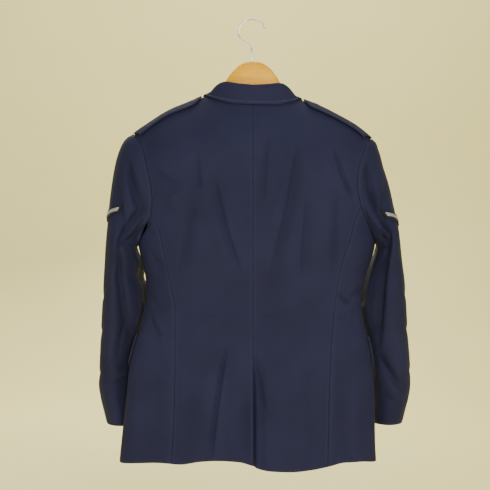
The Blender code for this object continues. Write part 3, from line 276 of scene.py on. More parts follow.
# Sleeves: outer and inner edges of the outline below the armhole, where the middle of the tube lies, its
# depth, and how far its inner side lies forward, in behind the body's edge as seen from the back
SLEEVE_OUTLINE = {
    LEFT: table(
        "drop outer",
        (0.239, 0.244), (0.245, 0.256), (0.257, 0.266), (0.27, 0.272), (0.294, 0.2795), (0.343, 0.288),
        (0.38, 0.2925), (0.429, 0.297), (0.479, 0.301), (0.557, 0.3065), (0.62, 0.3115), (0.672, 0.3155),
        (0.726, 0.3195), (0.756, 0.3215), (0.782, 0.3185), (0.808, 0.313), (0.84, 0.306),
    ),
    RIGHT: table(
        "drop outer",
        (0.2485, 0.244), (0.256, 0.252), (0.27, 0.257), (0.282, 0.261), (0.306, 0.267), (0.331, 0.275),
        (0.356, 0.2815), (0.38, 0.2865), (0.429, 0.2965), (0.479, 0.302), (0.54, 0.311), (0.641, 0.32),
        (0.73, 0.329), (0.756, 0.33), (0.782, 0.327), (0.808, 0.321), (0.84, 0.314),
    ),
}
SLEEVE = table(
    "drop inner_left inner_right middle depth skew",
    (0.47, 0.2378, 0.2538, -0.004, 0.076, 0), (0.485, 0.233, 0.25, -0.005, 0.0765, 0.006),
    (0.505, 0.2255, 0.2405, -0.006, 0.077, 0.024), (0.53, 0.228, 0.23, -0.007, 0.076, 0.037),
    (0.56, 0.2165, 0.2225, -0.01, 0.075, 0.04), (0.6, 0.218, 0.219, -0.016, 0.073, 0.04),
    (0.64, 0.228, 0.226, -0.025, 0.0705, 0.034), (0.68, 0.239, 0.235, -0.034, 0.069, 0.026),
    (0.75, 0.245, 0.244, -0.05, 0.065, 0.013), (0.8, 0.243, 0.248, -0.058, 0.061, 0.005),
    (0.84, 0.24, 0.248, -0.064, 0.058, 0),
)
CUFF = {LEFT: 0.8370, RIGHT: 0.8350}
ARMHOLE_DEPTH = 0.058
PIVOT_CLEAR = 0.004
SLEEVE_SQUARE = 0.9
FAN_SHARE = 0.45
FAN_POWER = 1.25
FAN_ROWS = 9
TUBE_ROWS = 13
FAN_FADE = math.radians(62)
SEAM_ANGLE = -0.0030

# Shoulder loops
LOOP_SEWN = 0.2410
LOOP_SEWN_CLEAR = 0.0012
LOOP_POINT = 0.1030
LOOP_WIDTH = table("share half", (0.0, 0.0270), (0.7, 0.0225), (0.86, 0.0215), (0.95, 0.0140), (1.0, 0.0040))
LOOP_CLOTH = 0.0026
LOOP_LIFT = 0.0015
LOOP_FORWARD = -0.004
LOOP_STIFF = 0.82
LOOP_BUTTON_AT = 0.83
LOOP_BUTTON_ACROSS = 0.55
LOOP_ROWS = (0.0, 0.15, 0.30, 0.45, 0.60, 0.75, 0.86, 0.95, 1.0)

# Rank patches: bent bands round the outside of the upper sleeve, lowest in the middle
PATCH_DROP = {LEFT: 0.4080, RIGHT: 0.4180}
PATCH_REACH = math.radians(66)
PATCH_RISE = 0.018
PATCH_HALF_HEIGHT = 0.010
PATCH_CLOTH = 0.0015
PATCH_LIFT = 0.0012
PATCH_WAYS = (0.0, 0.7)

# Pocket flaps
FLAP_TOP = {LEFT: 0.6440, RIGHT: 0.6500}
FLAP_HEIGHT = 0.064
FLAP_REAR = math.radians(9)
FLAP_FORE = math.radians(-72)
FLAP_CORNER = 0.020
FLAP_LENGTH = 0.165
FLAP_EASE = 0.0009
FLAP_COLUMNS = (0.0, 0.03, 0.10, 0.19, 0.28, 0.38, 0.50, 0.62, 0.76, 0.89, 0.97, 1.0)

# Buttons
FRONT_BUTTON_DROPS = (0.520, 0.605, 0.690)
FRONT_BUTTON_RADIUS = 0.0125
BUTTON_LIFT = 0.0004
LOOP_BUTTON_RADIUS = 0.0080

# Hanger
HANGER_HALF_THICK = 0.0065
HANGER_STATIONS = (0.0, 0.012, 0.026, 0.038, 0.050, 0.062, 0.075, 0.088, 0.11, 0.14, 0.17, 0.195, 0.207)
HANGER_TIP = 0.214
HANGER_TOP = table(
    "out drop",
    (0, 0.0885), (0.012, 0.0895), (0.028, 0.0965), (0.043, 0.111), (0.057, 0.131), (0.07, 0.152),
    (0.084, 0.1685), (0.3, 0.17),
)
HANGER_LOWER_RIGHT = 0.0068
HANGER_EASE = 0.0008
HANGER_BOTTOM = table(
    "out drop",
    (0, 0.152), (0.05, 0.169), (0.1, 0.198), (0.15, 0.223), (0.2, 0.245), (0.214, 0.248),
)
HANGER_SQUARE = 0.80
HANGER_OVAL = 0.90
HANGER_BEND = 0.195
HANGER_END_SHARE = 0.8
HANGER_END_SINK = 0.5
HANGER_DOME_HALF = 0.082
HANGER_LOWER_FROM = 0.045
HANGER_LOWER_RUN = 0.030
HANGER_SLACK = 0.004
WIRE = 0.0018
HOOK_RADIUS = 0.0277
HOOK_MIDDLE = (0.001, -0.0295)
HOOK_TIP = math.radians(160)
HOOK_LEAVES = math.radians(-15)
STEM_X = 0.002
STEM_TOP = -0.0650
STEM_END = -0.1080
STEM_MIDDLE = -0.0800
HOOK_LEAD = 0.014
STEM_LEAD = (0.001, 0.013)


def normals(surface, u, v, outward):
    """Outward unit normals of a surface."""
    along_u = surface(u + SLOPE_STEP, v) - surface(u - SLOPE_STEP, v)
    along_v = surface(u, v + SLOPE_STEP) - surface(u, v - SLOPE_STEP)
    return unit(np.cross(along_u, along_v)) * outward


def ridge(side, out):
    """Drop of the shoulder ridge."""
    return column(RIDGE, SIDES[side], np.abs(out))


def shoulder_round(out):
    """Power of the shoulder's curve, rounder at the padded tip than at the neck."""
    return blend(NECK_ROUND, TIP_ROUND, ease((np.abs(out) - NECK_HALF) / (SHOULDER_TIP - NECK_HALF)))


def fullness(fall, out):
    """Share of the full depth at a fall below the ridge, negative past it."""
    power = shoulder_round(out)
    share = np.clip(np.abs(fall) / SHOULDER_FALL, 0.0, 1.0)
    return np.sign(fall) * (1.0 - (1.0 - share) ** power) ** (1.0 / power)


def fall_at(share, out):
    """Fall below the ridge that has this share of the full depth."""
    power = shoulder_round(out)
    share = np.clip(share, 0.0, 1.0)
    return SHOULDER_FALL * (1.0 - (1.0 - share**power) ** (1.0 / power))


def body(side, angle, drop):
    """Point on the outside of the body. The angle is 90 degrees at centre back, 0 at the side."""
    out = column(BODY, SIDES[side], drop) * powered(np.cos(angle), 2.0 / BODY_ROUND)
    lift = powered(np.sin(angle), 2.0 / BODY_ROUND)
    full = fullness(drop - ridge(side, out), out)
    depth = np.where(lift > 0.0, column(BODY, "back", drop), column(BODY, "front", drop))
    y = column(BODY, "middle", drop) + lift * (depth * full + RIDGE_EASE)
    taper = column(BODY, "taper", drop) * np.clip(-lift, 0.0, None) ** TAPER_POWER
    return points(side * out * (1.0 - taper), y, -drop)


def body_angle(side, out, drop):
    """Angle round the back half at which the body is this far out."""
    share = powered(out / column(BODY, SIDES[side], drop), BODY_ROUND / 2.0)
    return np.arccos(np.clip(share, -1.0, 1.0))


def back_panel_angle(side, drop):
    """Angle round the body of a back panel's outer edge."""
    return body_angle(side, column(BACK_EDGE[side], "out", drop) + SEAM_GAP / 2, drop)


def front_panel_angle(side, drop):
    """Angle round the body of a front panel's outer edge."""
    return -body_angle(side, column(FRONT_EDGE[side], "out", drop) + SEAM_GAP / 2, drop)


def armhole_floor(side, angle):
    """Drop of the armhole's lower edge at an angle round the body."""
    low = UNDERARM[side]
    back = back_panel_angle(side, BACK_CORNER[side])
    front = front_panel_angle(side, FRONT_CORNER[side])
    behind = low - (low - BACK_CORNER[side]) * (angle / back) ** 2
    before = low - (low - FRONT_CORNER[side]) * (angle / front) ** 2
    return np.where(angle > 0.0, behind, before)


def hem_drop(side, angle, out):
    """Drop of the hem, on the back half or the front half."""
    return np.where(angle > 0.0, column(BACK_HEM[side], "drop", out), column(FRONT_HEM[side], "drop", out))


def centre_top(side):
    """Drop of the neck seam at centre back."""
    return ridge(side, 0.0) + NECK_SINK["sink"][0]


def hem_side(side, edge, hem):
    """Drop of the hem at the foot of a side seam."""
    return float(column(hem[side], "drop", column(edge[side], "out", HEM_LEVEL)))


def lower_rows(side):
    """Shares of the way from an armhole corner to the hem at which the panels have a row of points."""
    tip, corner, hem = BACK_EDGE[side]["drop"][0], BACK_CORNER[side], hem_side(side, BACK_EDGE, BACK_HEM)
    top, bottom = centre_top(side), BACK_HEM[side]["drop"][0]
    vent = np.array((VENT_TOP, VENT_TOP + VENT_SLOPE))
    vent = tip + (hem - tip) * (vent - top) / (bottom - top)
    return np.sort(np.concatenate((np.linspace(0.0, 1.0, 11), (vent - corner) / (hem - corner), HEM_ROWS)))


def upper_drops(side, edge, corner):
    """Drops of the rows of points between the shoulder tip and an armhole corner."""
    tip = edge[side]["drop"][0]
    return blend(tip, corner[side], np.linspace(0.0, 1.0, UPPER_ROWS + 1) ** SHOULDER_ROWS_POWER)


def panel_rows(side, edge, corner, hem):
    """Shares of the way from the shoulder to the hem at which a back or front panel has a row."""
    tip, foot = edge[side]["drop"][0], hem_side(side, edge, hem)
    lower = blend(corner[side], foot, lower_rows(side))
    return (np.concatenate((upper_drops(side, edge, corner), lower[1:])) - tip) / (foot - tip)


def back_panel(side):
    """Surface of a back panel from centre back to the armhole and the side-back seam."""
    edge = BACK_EDGE[side]
    tip, foot = edge["drop"][0], hem_side(side, BACK_EDGE, BACK_HEM)
    hem_out = column(edge, "out", HEM_LEVEL)

    def surface(across, way):
        outer = column(edge, "out", blend(tip, foot, way)) - SEAM_GAP / 2
        top_out = blend(CENTRE_GAP / 2, SHOULDER_TIP - SEAM_GAP / 2, across)
        top = ridge(side, top_out) + column(NECK_SINK, "sink", np.abs(top_out))
        hem_start = -VENT_UNDERLAP if side == RIGHT else 0.0
        hem = column(BACK_HEM[side], "drop", blend(hem_start, hem_out, np.abs(across)))
        drop = blend(top, hem, way)
        centre = CENTRE_GAP / 2
        if side == RIGHT:
            centre = blend(centre, -VENT_UNDERLAP, ease((drop - VENT_TOP) / VENT_SLOPE))
        out = blend(centre, outer, across)
        place = body(side, body_angle(side, out, drop), drop)
        if side == RIGHT:
            under = ease((VENT_FLUSH - out) / (VENT_FLUSH - VENT_SUNK))
            under = under * ease((drop - VENT_TOP + VENT_SINK) / VENT_SINK)
            place = place - points(0.0, (LAP + VENT_EASE) * under, 0.0)
        return place

    return surface


def side_panel(side):
    """Surface of a side panel from the side-back seam round to the side-front seam."""
    back_top, front_top = BACK_CORNER[side], FRONT_CORNER[side]
    back_hem = hem_side(side, BACK_EDGE, BACK_HEM)
    front_hem = hem_side(side, FRONT_EDGE, FRONT_HEM)

    def surface(across, row):
        behind = back_panel_angle(side, blend(back_top, back_hem, row))
        before = front_panel_angle(side, blend(front_top, front_hem, row))
        angle = blend(behind, before, across)
        top_angle = blend(back_panel_angle(side, back_top), front_panel_angle(side, front_top), across)
        top = armhole_floor(side, top_angle)
        hem_angle = blend(back_panel_angle(side, back_hem), front_panel_angle(side, front_hem), across)
        widest = column(BODY, SIDES[side], HEM_LEVEL)
        hem = hem_drop(side, hem_angle, widest * powered(np.cos(hem_angle), 2.0 / BODY_ROUND))
        return body(side, angle, blend(top, hem, row))

    return surface


def front_panel(side):
    """Surface of a front panel from the roll line and front edge to the armhole and side-front seam."""
    edge = FRONT_EDGE[side]
    tip, foot = edge["drop"][0], hem_side(side, FRONT_EDGE, FRONT_HEM)
    neck = ridge(side, NECK_HALF)
    hem_out = column(edge, "out", HEM_LEVEL)
    hem_middle = ROLL["drop"][-1]

    def surface(across, way):
        outer = column(edge, "out", blend(tip, foot, way)) - SEAM_GAP / 2
        inner = column(ROLL, "out", blend(neck, hem_middle, way))
        top = ridge(side, blend(column(ROLL, "out", neck), SHOULDER_TIP - SEAM_GAP / 2, across))
        drop = blend(top, column(FRONT_HEM[side], "drop", blend(0.0, hem_out, across)), way)
        out = blend(inner, outer, across)
        place = body(side, -body_angle(side, out, drop), drop)
        if side == RIGHT:
            start, end = FRONT_UNDERLAP_FADE
            under = ease((end - out) / (end - start))
            under = under * ease((drop - FRONT_UNDERLAP_TOP) / FRONT_UNDERLAP_RISE)
            place = place + points(0.0, (LAP + FRONT_EASE) * under, 0.0)
        return place

    return surface


def lapel_surface(side):
    """Surface of the front under a lapel, from the roll line out to the lapel's edge."""

    def surface(across, row):
        lower = LAPEL_LOWER[side]
        roll_drop = blend(LAPEL_TOP + lower, LAPEL_END[side] - LAPEL_SLANT, row)
        edge_drop = blend(LAPEL_TIP + lower, LAPEL_END[side], row)
        roll = column(ROLL, "out", roll_drop)
        edge = column(ROLL, "out", edge_drop) + column(LAPEL_WIDTH, "wide", row)
        drop = blend(roll_drop, edge_drop, across)
        out = blend(roll - LAPEL_PAST_ROLL, edge, across)
        return body(side, -body_angle(side, out, drop), drop)

    return surface


def on_shoulder(side, out, back):
    """Point of the body near the ridge, from its distance out and its distance behind the ridge."""
    drop = ridge(side, out)
    for _ in range(3):
        angle = body_angle(side, out, drop)
        lift = np.abs(powered(np.sin(angle), 2.0 / BODY_ROUND))
        depth = np.where(back > 0.0, column(BODY, "back", drop), column(BODY, "front", drop))
        drop = ridge(side, out) + fall_at(np.abs(back) / (lift * depth), out)
    return points(side * out, back, -drop)


def shoulder_normal(side, out, back):
    """Outward normal of the body near the ridge."""
    step = SHOULDER_STEP
    along_out = on_shoulder(side, out + step, back) - on_shoulder(side, out - step, back)
    along_back = on_shoulder(side, out, back + step) - on_shoulder(side, out, back - step)
    return unit(np.cross(along_out, along_back)) * side


def collar_guides(side, share):
    """Neck seam, fold top and outer edge of the collar on one side."""
    lower = column(COLLAR_DROP_RIGHT, "drop", share) if side == RIGHT else 0.0
    guides = []
    for rows in (COLLAR_NECK, COLLAR_FOLD):
        out, back, drop = (column(rows, name, share) for name in ("out", "back", "drop"))
        guides.append(points(side * out, back, -drop - lower))
    out, back = column(COLLAR_EDGE, "out", share), column(COLLAR_EDGE, "back", share)
    edge = on_shoulder(side, out, back) + shoulder_normal(side, out, back) * (LAP + COLLAR_EASE)
    return guides[0], guides[1], edge


def smooth_through(knots, stops, at):
    """Smooth curve with no overshoot through stops, one set for each point, at a place between knots."""
    spans = np.diff(knots)
    wide_spans = spans.reshape((-1,) + (1,) * (stops.ndim - 1))
    slopes = stop_slopes(wide_spans, np.diff(stops, axis=0) / wide_spans)
    held = np.clip(at, knots[0], knots[-1])
    place = np.clip(np.searchsorted(knots, held) - 1, 0, len(spans) - 1)
    part = ((held - knots[place]) / spans[place])[..., None]

    def pick(values, step):
        return np.take_along_axis(values, (place + step)[None, ..., None], axis=0)[0]

    ends = pick(stops, 0), pick(stops, 1), pick(slopes, 0), pick(slopes, 1)
    past = (at - held)[..., None]
    return between(part, spans[place][..., None], *ends) + past * np.where(past < 0.0, slopes[0], slopes[-1])


def collar_side(side, share, way):
    """Collar surface on one side: up the stand, over the fold and down the fall."""
    neck, fold, edge = collar_guides(side, share)
    radius = column(COLLAR_RADIUS, "radius", share)[..., None]
    away = unit((edge - neck) * np.array((1.0, 1.0, 0.0)))
    rise = fold - neck
    rise = unit(rise - away * np.sum(rise * away, axis=-1, keepdims=True))
    stops = np.array([neck, fold - (away + rise) * radius, fold, fold + (away - rise) * radius, edge])
    result = smooth_through(COLLAR_PATH["way"], stops, way)
    notch = np.clip(1.0 - np.abs(way - NOTCH_WAY) / NOTCH_HALF, 0.0, 1.0)
    notch = notch * ease((share - NOTCH_FROM) / (1.0 - NOTCH_FROM))
    result = result - points(0.0, 0.0, NOTCH_DEPTH * notch)
    out, back = side * result[..., 0], result[..., 1]
    upward = shoulder_normal(side, out, back)[..., 2]
    floor = on_shoulder(side, out, back)[..., 2] + (LAP + COLLAR_EASE) / np.clip(upward, LEAST_UPWARD, 1.0)
    on_fall = way > COLLAR_FOLD_WAY
    result[..., 2] = np.where(on_fall, np.maximum(result[..., 2], floor), result[..., 2])
    return result


def collar_surface(u, way):
    """Collar surface from the right front end (-1) round the neck to the left front end (+1)."""
    left = collar_side(LEFT, np.abs(u), way)
    right = collar_side(RIGHT, np.abs(u), way)
    return np.where(u[..., None] >= 0.0, left, right)


def armhole_point(side, turn):
    """Point of the armhole at a turn: 0 at the shoulder tip, 90 degrees behind, 180 at the underarm."""
    behind = np.sin(turn) >= 0.0
    tip = BACK_EDGE[side]["drop"][0]
    drop = blend(UNDERARM[side], tip, (1.0 + np.cos(turn)) / 2.0)
    low = UNDERARM[side]
    angles = []
    for rows, corner, panel_angle in (
        (BACK_EDGE[side], BACK_CORNER[side], back_panel_angle(side, BACK_CORNER[side])),
        (FRONT_EDGE[side], FRONT_CORNER[side], -front_panel_angle(side, FRONT_CORNER[side])),
    ):
        upper = body_angle(side, column(rows, "out", drop), drop)
        lower = panel_angle * np.sqrt(np.clip((low - drop) / (low - corner), 0.0, 1.0))
        angles.append(np.where(drop < corner, upper, lower))
    return body(side, np.where(behind, angles[0], -angles[1]), drop)


def ring_point(side, turn, lean, reach, middle, depth, pivot):
    """Point of a sleeve ring in a plane that leans out from the armhole round the pivot."""
    radius = blend(PIVOT_CLEAR, reach, (1.0 + np.cos(turn)) / 2.0)
    y = middle + depth * powered(np.sin(turn), SLEEVE_SQUARE)
    return points(side * (pivot[0] + radius * np.sin(lean)), y, pivot[1] + radius * np.cos(lean))


def sleeve_surface(side):
    """Surface of a sleeve, by the turn round it and the way down from the armhole to the cuff."""
    outline = SLEEVE_OUTLINE[side]
    inner = f"inner_{SIDES[side]}"
    tip = outline["drop"][0]
    bend = UNDERARM[side] + PIVOT_CLEAR
    pivot = (column(SLEEVE, inner, bend) - PIVOT_CLEAR, -bend)
    first_reach = np.hypot(outline["outer"][0] - pivot[0], bend - tip)
    first_lean = np.arctan2(outline["outer"][0] - pivot[0], bend - tip)

    def fan(turn, way):
        drop = blend(tip, bend, powered(way, FAN_POWER))
        outer = column(outline, "outer", drop)
        lean = np.arctan2(outer - pivot[0], bend - drop)
        reach = np.hypot(outer - pivot[0], bend - drop)
        spread = ease((lean - first_lean) / (math.pi / 2 - first_lean))
        depth = blend(ARMHOLE_DEPTH, column(SLEEVE, "depth", bend), spread)
        middle = column(SLEEVE, "middle", bend) * spread
        start = ring_point(side, turn, first_lean, first_reach, 0.0, ARMHOLE_DEPTH, pivot)
        sewn = armhole_point(side, turn) + points(side * SEAM_GAP, 0.0, 0.0) - start
        fade = np.clip(1.0 - (lean - first_lean) / FAN_FADE, 0.0, None)[..., None] ** 2
        return ring_point(side, turn, lean, reach, middle, depth, pivot) + sewn * fade

    def tube(turn, way):
        drop = blend(bend, CUFF[side], way)
        outer, near = column(outline, "outer", drop), column(SLEEVE, inner, drop)
        outward = (1.0 + np.cos(turn)) / 2.0
        reach = column(SLEEVE, "depth", drop) * powered(np.sin(turn), SLEEVE_SQUARE)
        y = column(SLEEVE, "middle", drop) + reach - column(SLEEVE, "skew", drop) * (1.0 - outward)
        return points(side * blend(near, outer, outward), y, -drop)

    def surface(turn, way):
        upper = fan(turn, np.minimum(way / FAN_SHARE, 1.0))
        lower = tube(turn, np.maximum((way - FAN_SHARE) / (1.0 - FAN_SHARE), 0.0))
        return np.where((way < FAN_SHARE)[..., None], upper, lower)

    return surface


def armhole_turns(side):
    """Turns round the armhole at which the body's panels have points, from the shoulder tip round."""
    low, tip = UNDERARM[side], BACK_EDGE[side]["drop"][0]

    def turn_at(drop):
        return np.arccos(np.clip(2.0 * (low - drop) / (low - tip) - 1.0, -1.0, 1.0))

    behind = turn_at(upper_drops(side, BACK_EDGE, BACK_CORNER))
    before = math.tau - turn_at(upper_drops(side, FRONT_EDGE, FRONT_CORNER))
    corners = back_panel_angle(side, BACK_CORNER[side]), front_panel_angle(side, FRONT_CORNER[side])
    angles = blend(*corners, np.linspace(0.0, 1.0, SIDE_COLUMNS))[1:-1]
    under = turn_at(armhole_floor(side, angles))
    under = np.where(angles > 0.0, under, math.tau - under)
    return np.concatenate((behind, under, before[:0:-1]))


def armhole_normal_x(side, turns):
    """How far the body's normal points out along X at the armhole."""
    place = armhole_point(side, turns)
    back = np.where(np.sin(turns) >= 0.0, 1.0, -1.0)
    angle = body_angle(side, np.abs(place[:, 0]), -place[:, 2]) * back

    def surface(u, v):
        return body(side, u, v)

    normal = normals(surface, angle, -place[:, 2], 1)
    return np.clip(np.abs(normal[:, 0]), 0.0, 1.0)


def loop_surface(side):
    """Top of a shoulder loop, from the sleeve seam to its point, from its rear to its fore edge."""

    def sewn(back):
        out = np.full(np.shape(back), LOOP_SEWN)
        for _ in range(3):
            drop = -on_shoulder(side, out, back)[..., 2]
            behind, before = column(BACK_EDGE[side], "out", drop), column(FRONT_EDGE[side], "out", drop)
            out = np.minimum(LOOP_SEWN, np.where(back > 0.0, behind, before) - LOOP_SEWN_CLEAR)
        return out

    def surface(across, along):
        back = -LOOP_FORWARD - column(LOOP_WIDTH, "half", along) * across
        out = blend(sewn(back), LOOP_POINT, along)
        skin = on_shoulder(side, out, back)
        crest = -ridge(side, out)
        z = crest - (crest - skin[..., 2]) * LOOP_STIFF
        return points(side * out, back, z)

    return surface


def flap_surface(side):
    """Body surface under a pocket flap, from its rear edge to its fore edge, with rounded lower corners."""

    def surface(across, row):
        angle = blend(FLAP_REAR, FLAP_FORE, across)
        nearest = np.minimum(across, 1.0 - across) * FLAP_LENGTH
        short = np.clip(1.0 - nearest / FLAP_CORNER, 0.0, 1.0)
        height = FLAP_HEIGHT - FLAP_CORNER * (1.0 - np.sqrt(np.clip(1.0 - short**2, 0.0, 1.0)))
        return body(side, angle, FLAP_TOP[side] + height * row)

    return surface


def hanger_top(x):
    """Drop of the wood's upper edge: its dome at the neck, then just under the shoulders."""
    side = LEFT if x >= 0 else RIGHT
    dome = float(column(HANGER_TOP, "drop", abs(x)))
    if side == RIGHT:
        dome += HANGER_LOWER_RIGHT * float(ease((abs(x) - HANGER_LOWER_FROM) / HANGER_LOWER_RUN))
    under_cloth = float(ridge(side, abs(x))) + LAP + HANGER_EASE
    if abs(x) < HANGER_DOME_HALF:
        return dome
    return max(under_cloth, min(dome, under_cloth + HANGER_SLACK))


def bezier(start, lead, trail, end, share):
    """Point of a cubic curve between two ends with two leads."""
    rest = 1.0 - share
    return start * rest**3 + lead * 3 * share * rest**2 + trail * 3 * share**2 * rest + end * share**3


def hook_path():
    """Centre line of the hook's wire, from its tip over the crown to the foot of the stem."""
    middle = np.array(HOOK_MIDDLE)
    arc = [
        middle + HOOK_RADIUS * np.array((math.cos(angle), math.sin(angle)))
        for angle in np.linspace(HOOK_TIP, HOOK_LEAVES, 20)
    ]
    heading = np.array((math.sin(HOOK_LEAVES), -math.cos(HOOK_LEAVES)))
    stem_top = np.array((STEM_X, STEM_TOP))
    lead = arc[-1] + heading * HOOK_LEAD
    trail = stem_top + np.array(STEM_LEAD)
    bend = [bezier(arc[-1], lead, trail, stem_top, share) for share in np.linspace(0.0, 1.0, 10)[1:]]
    return arc + bend + [np.array((STEM_X, z)) for z in (STEM_MIDDLE, STEM_END)]


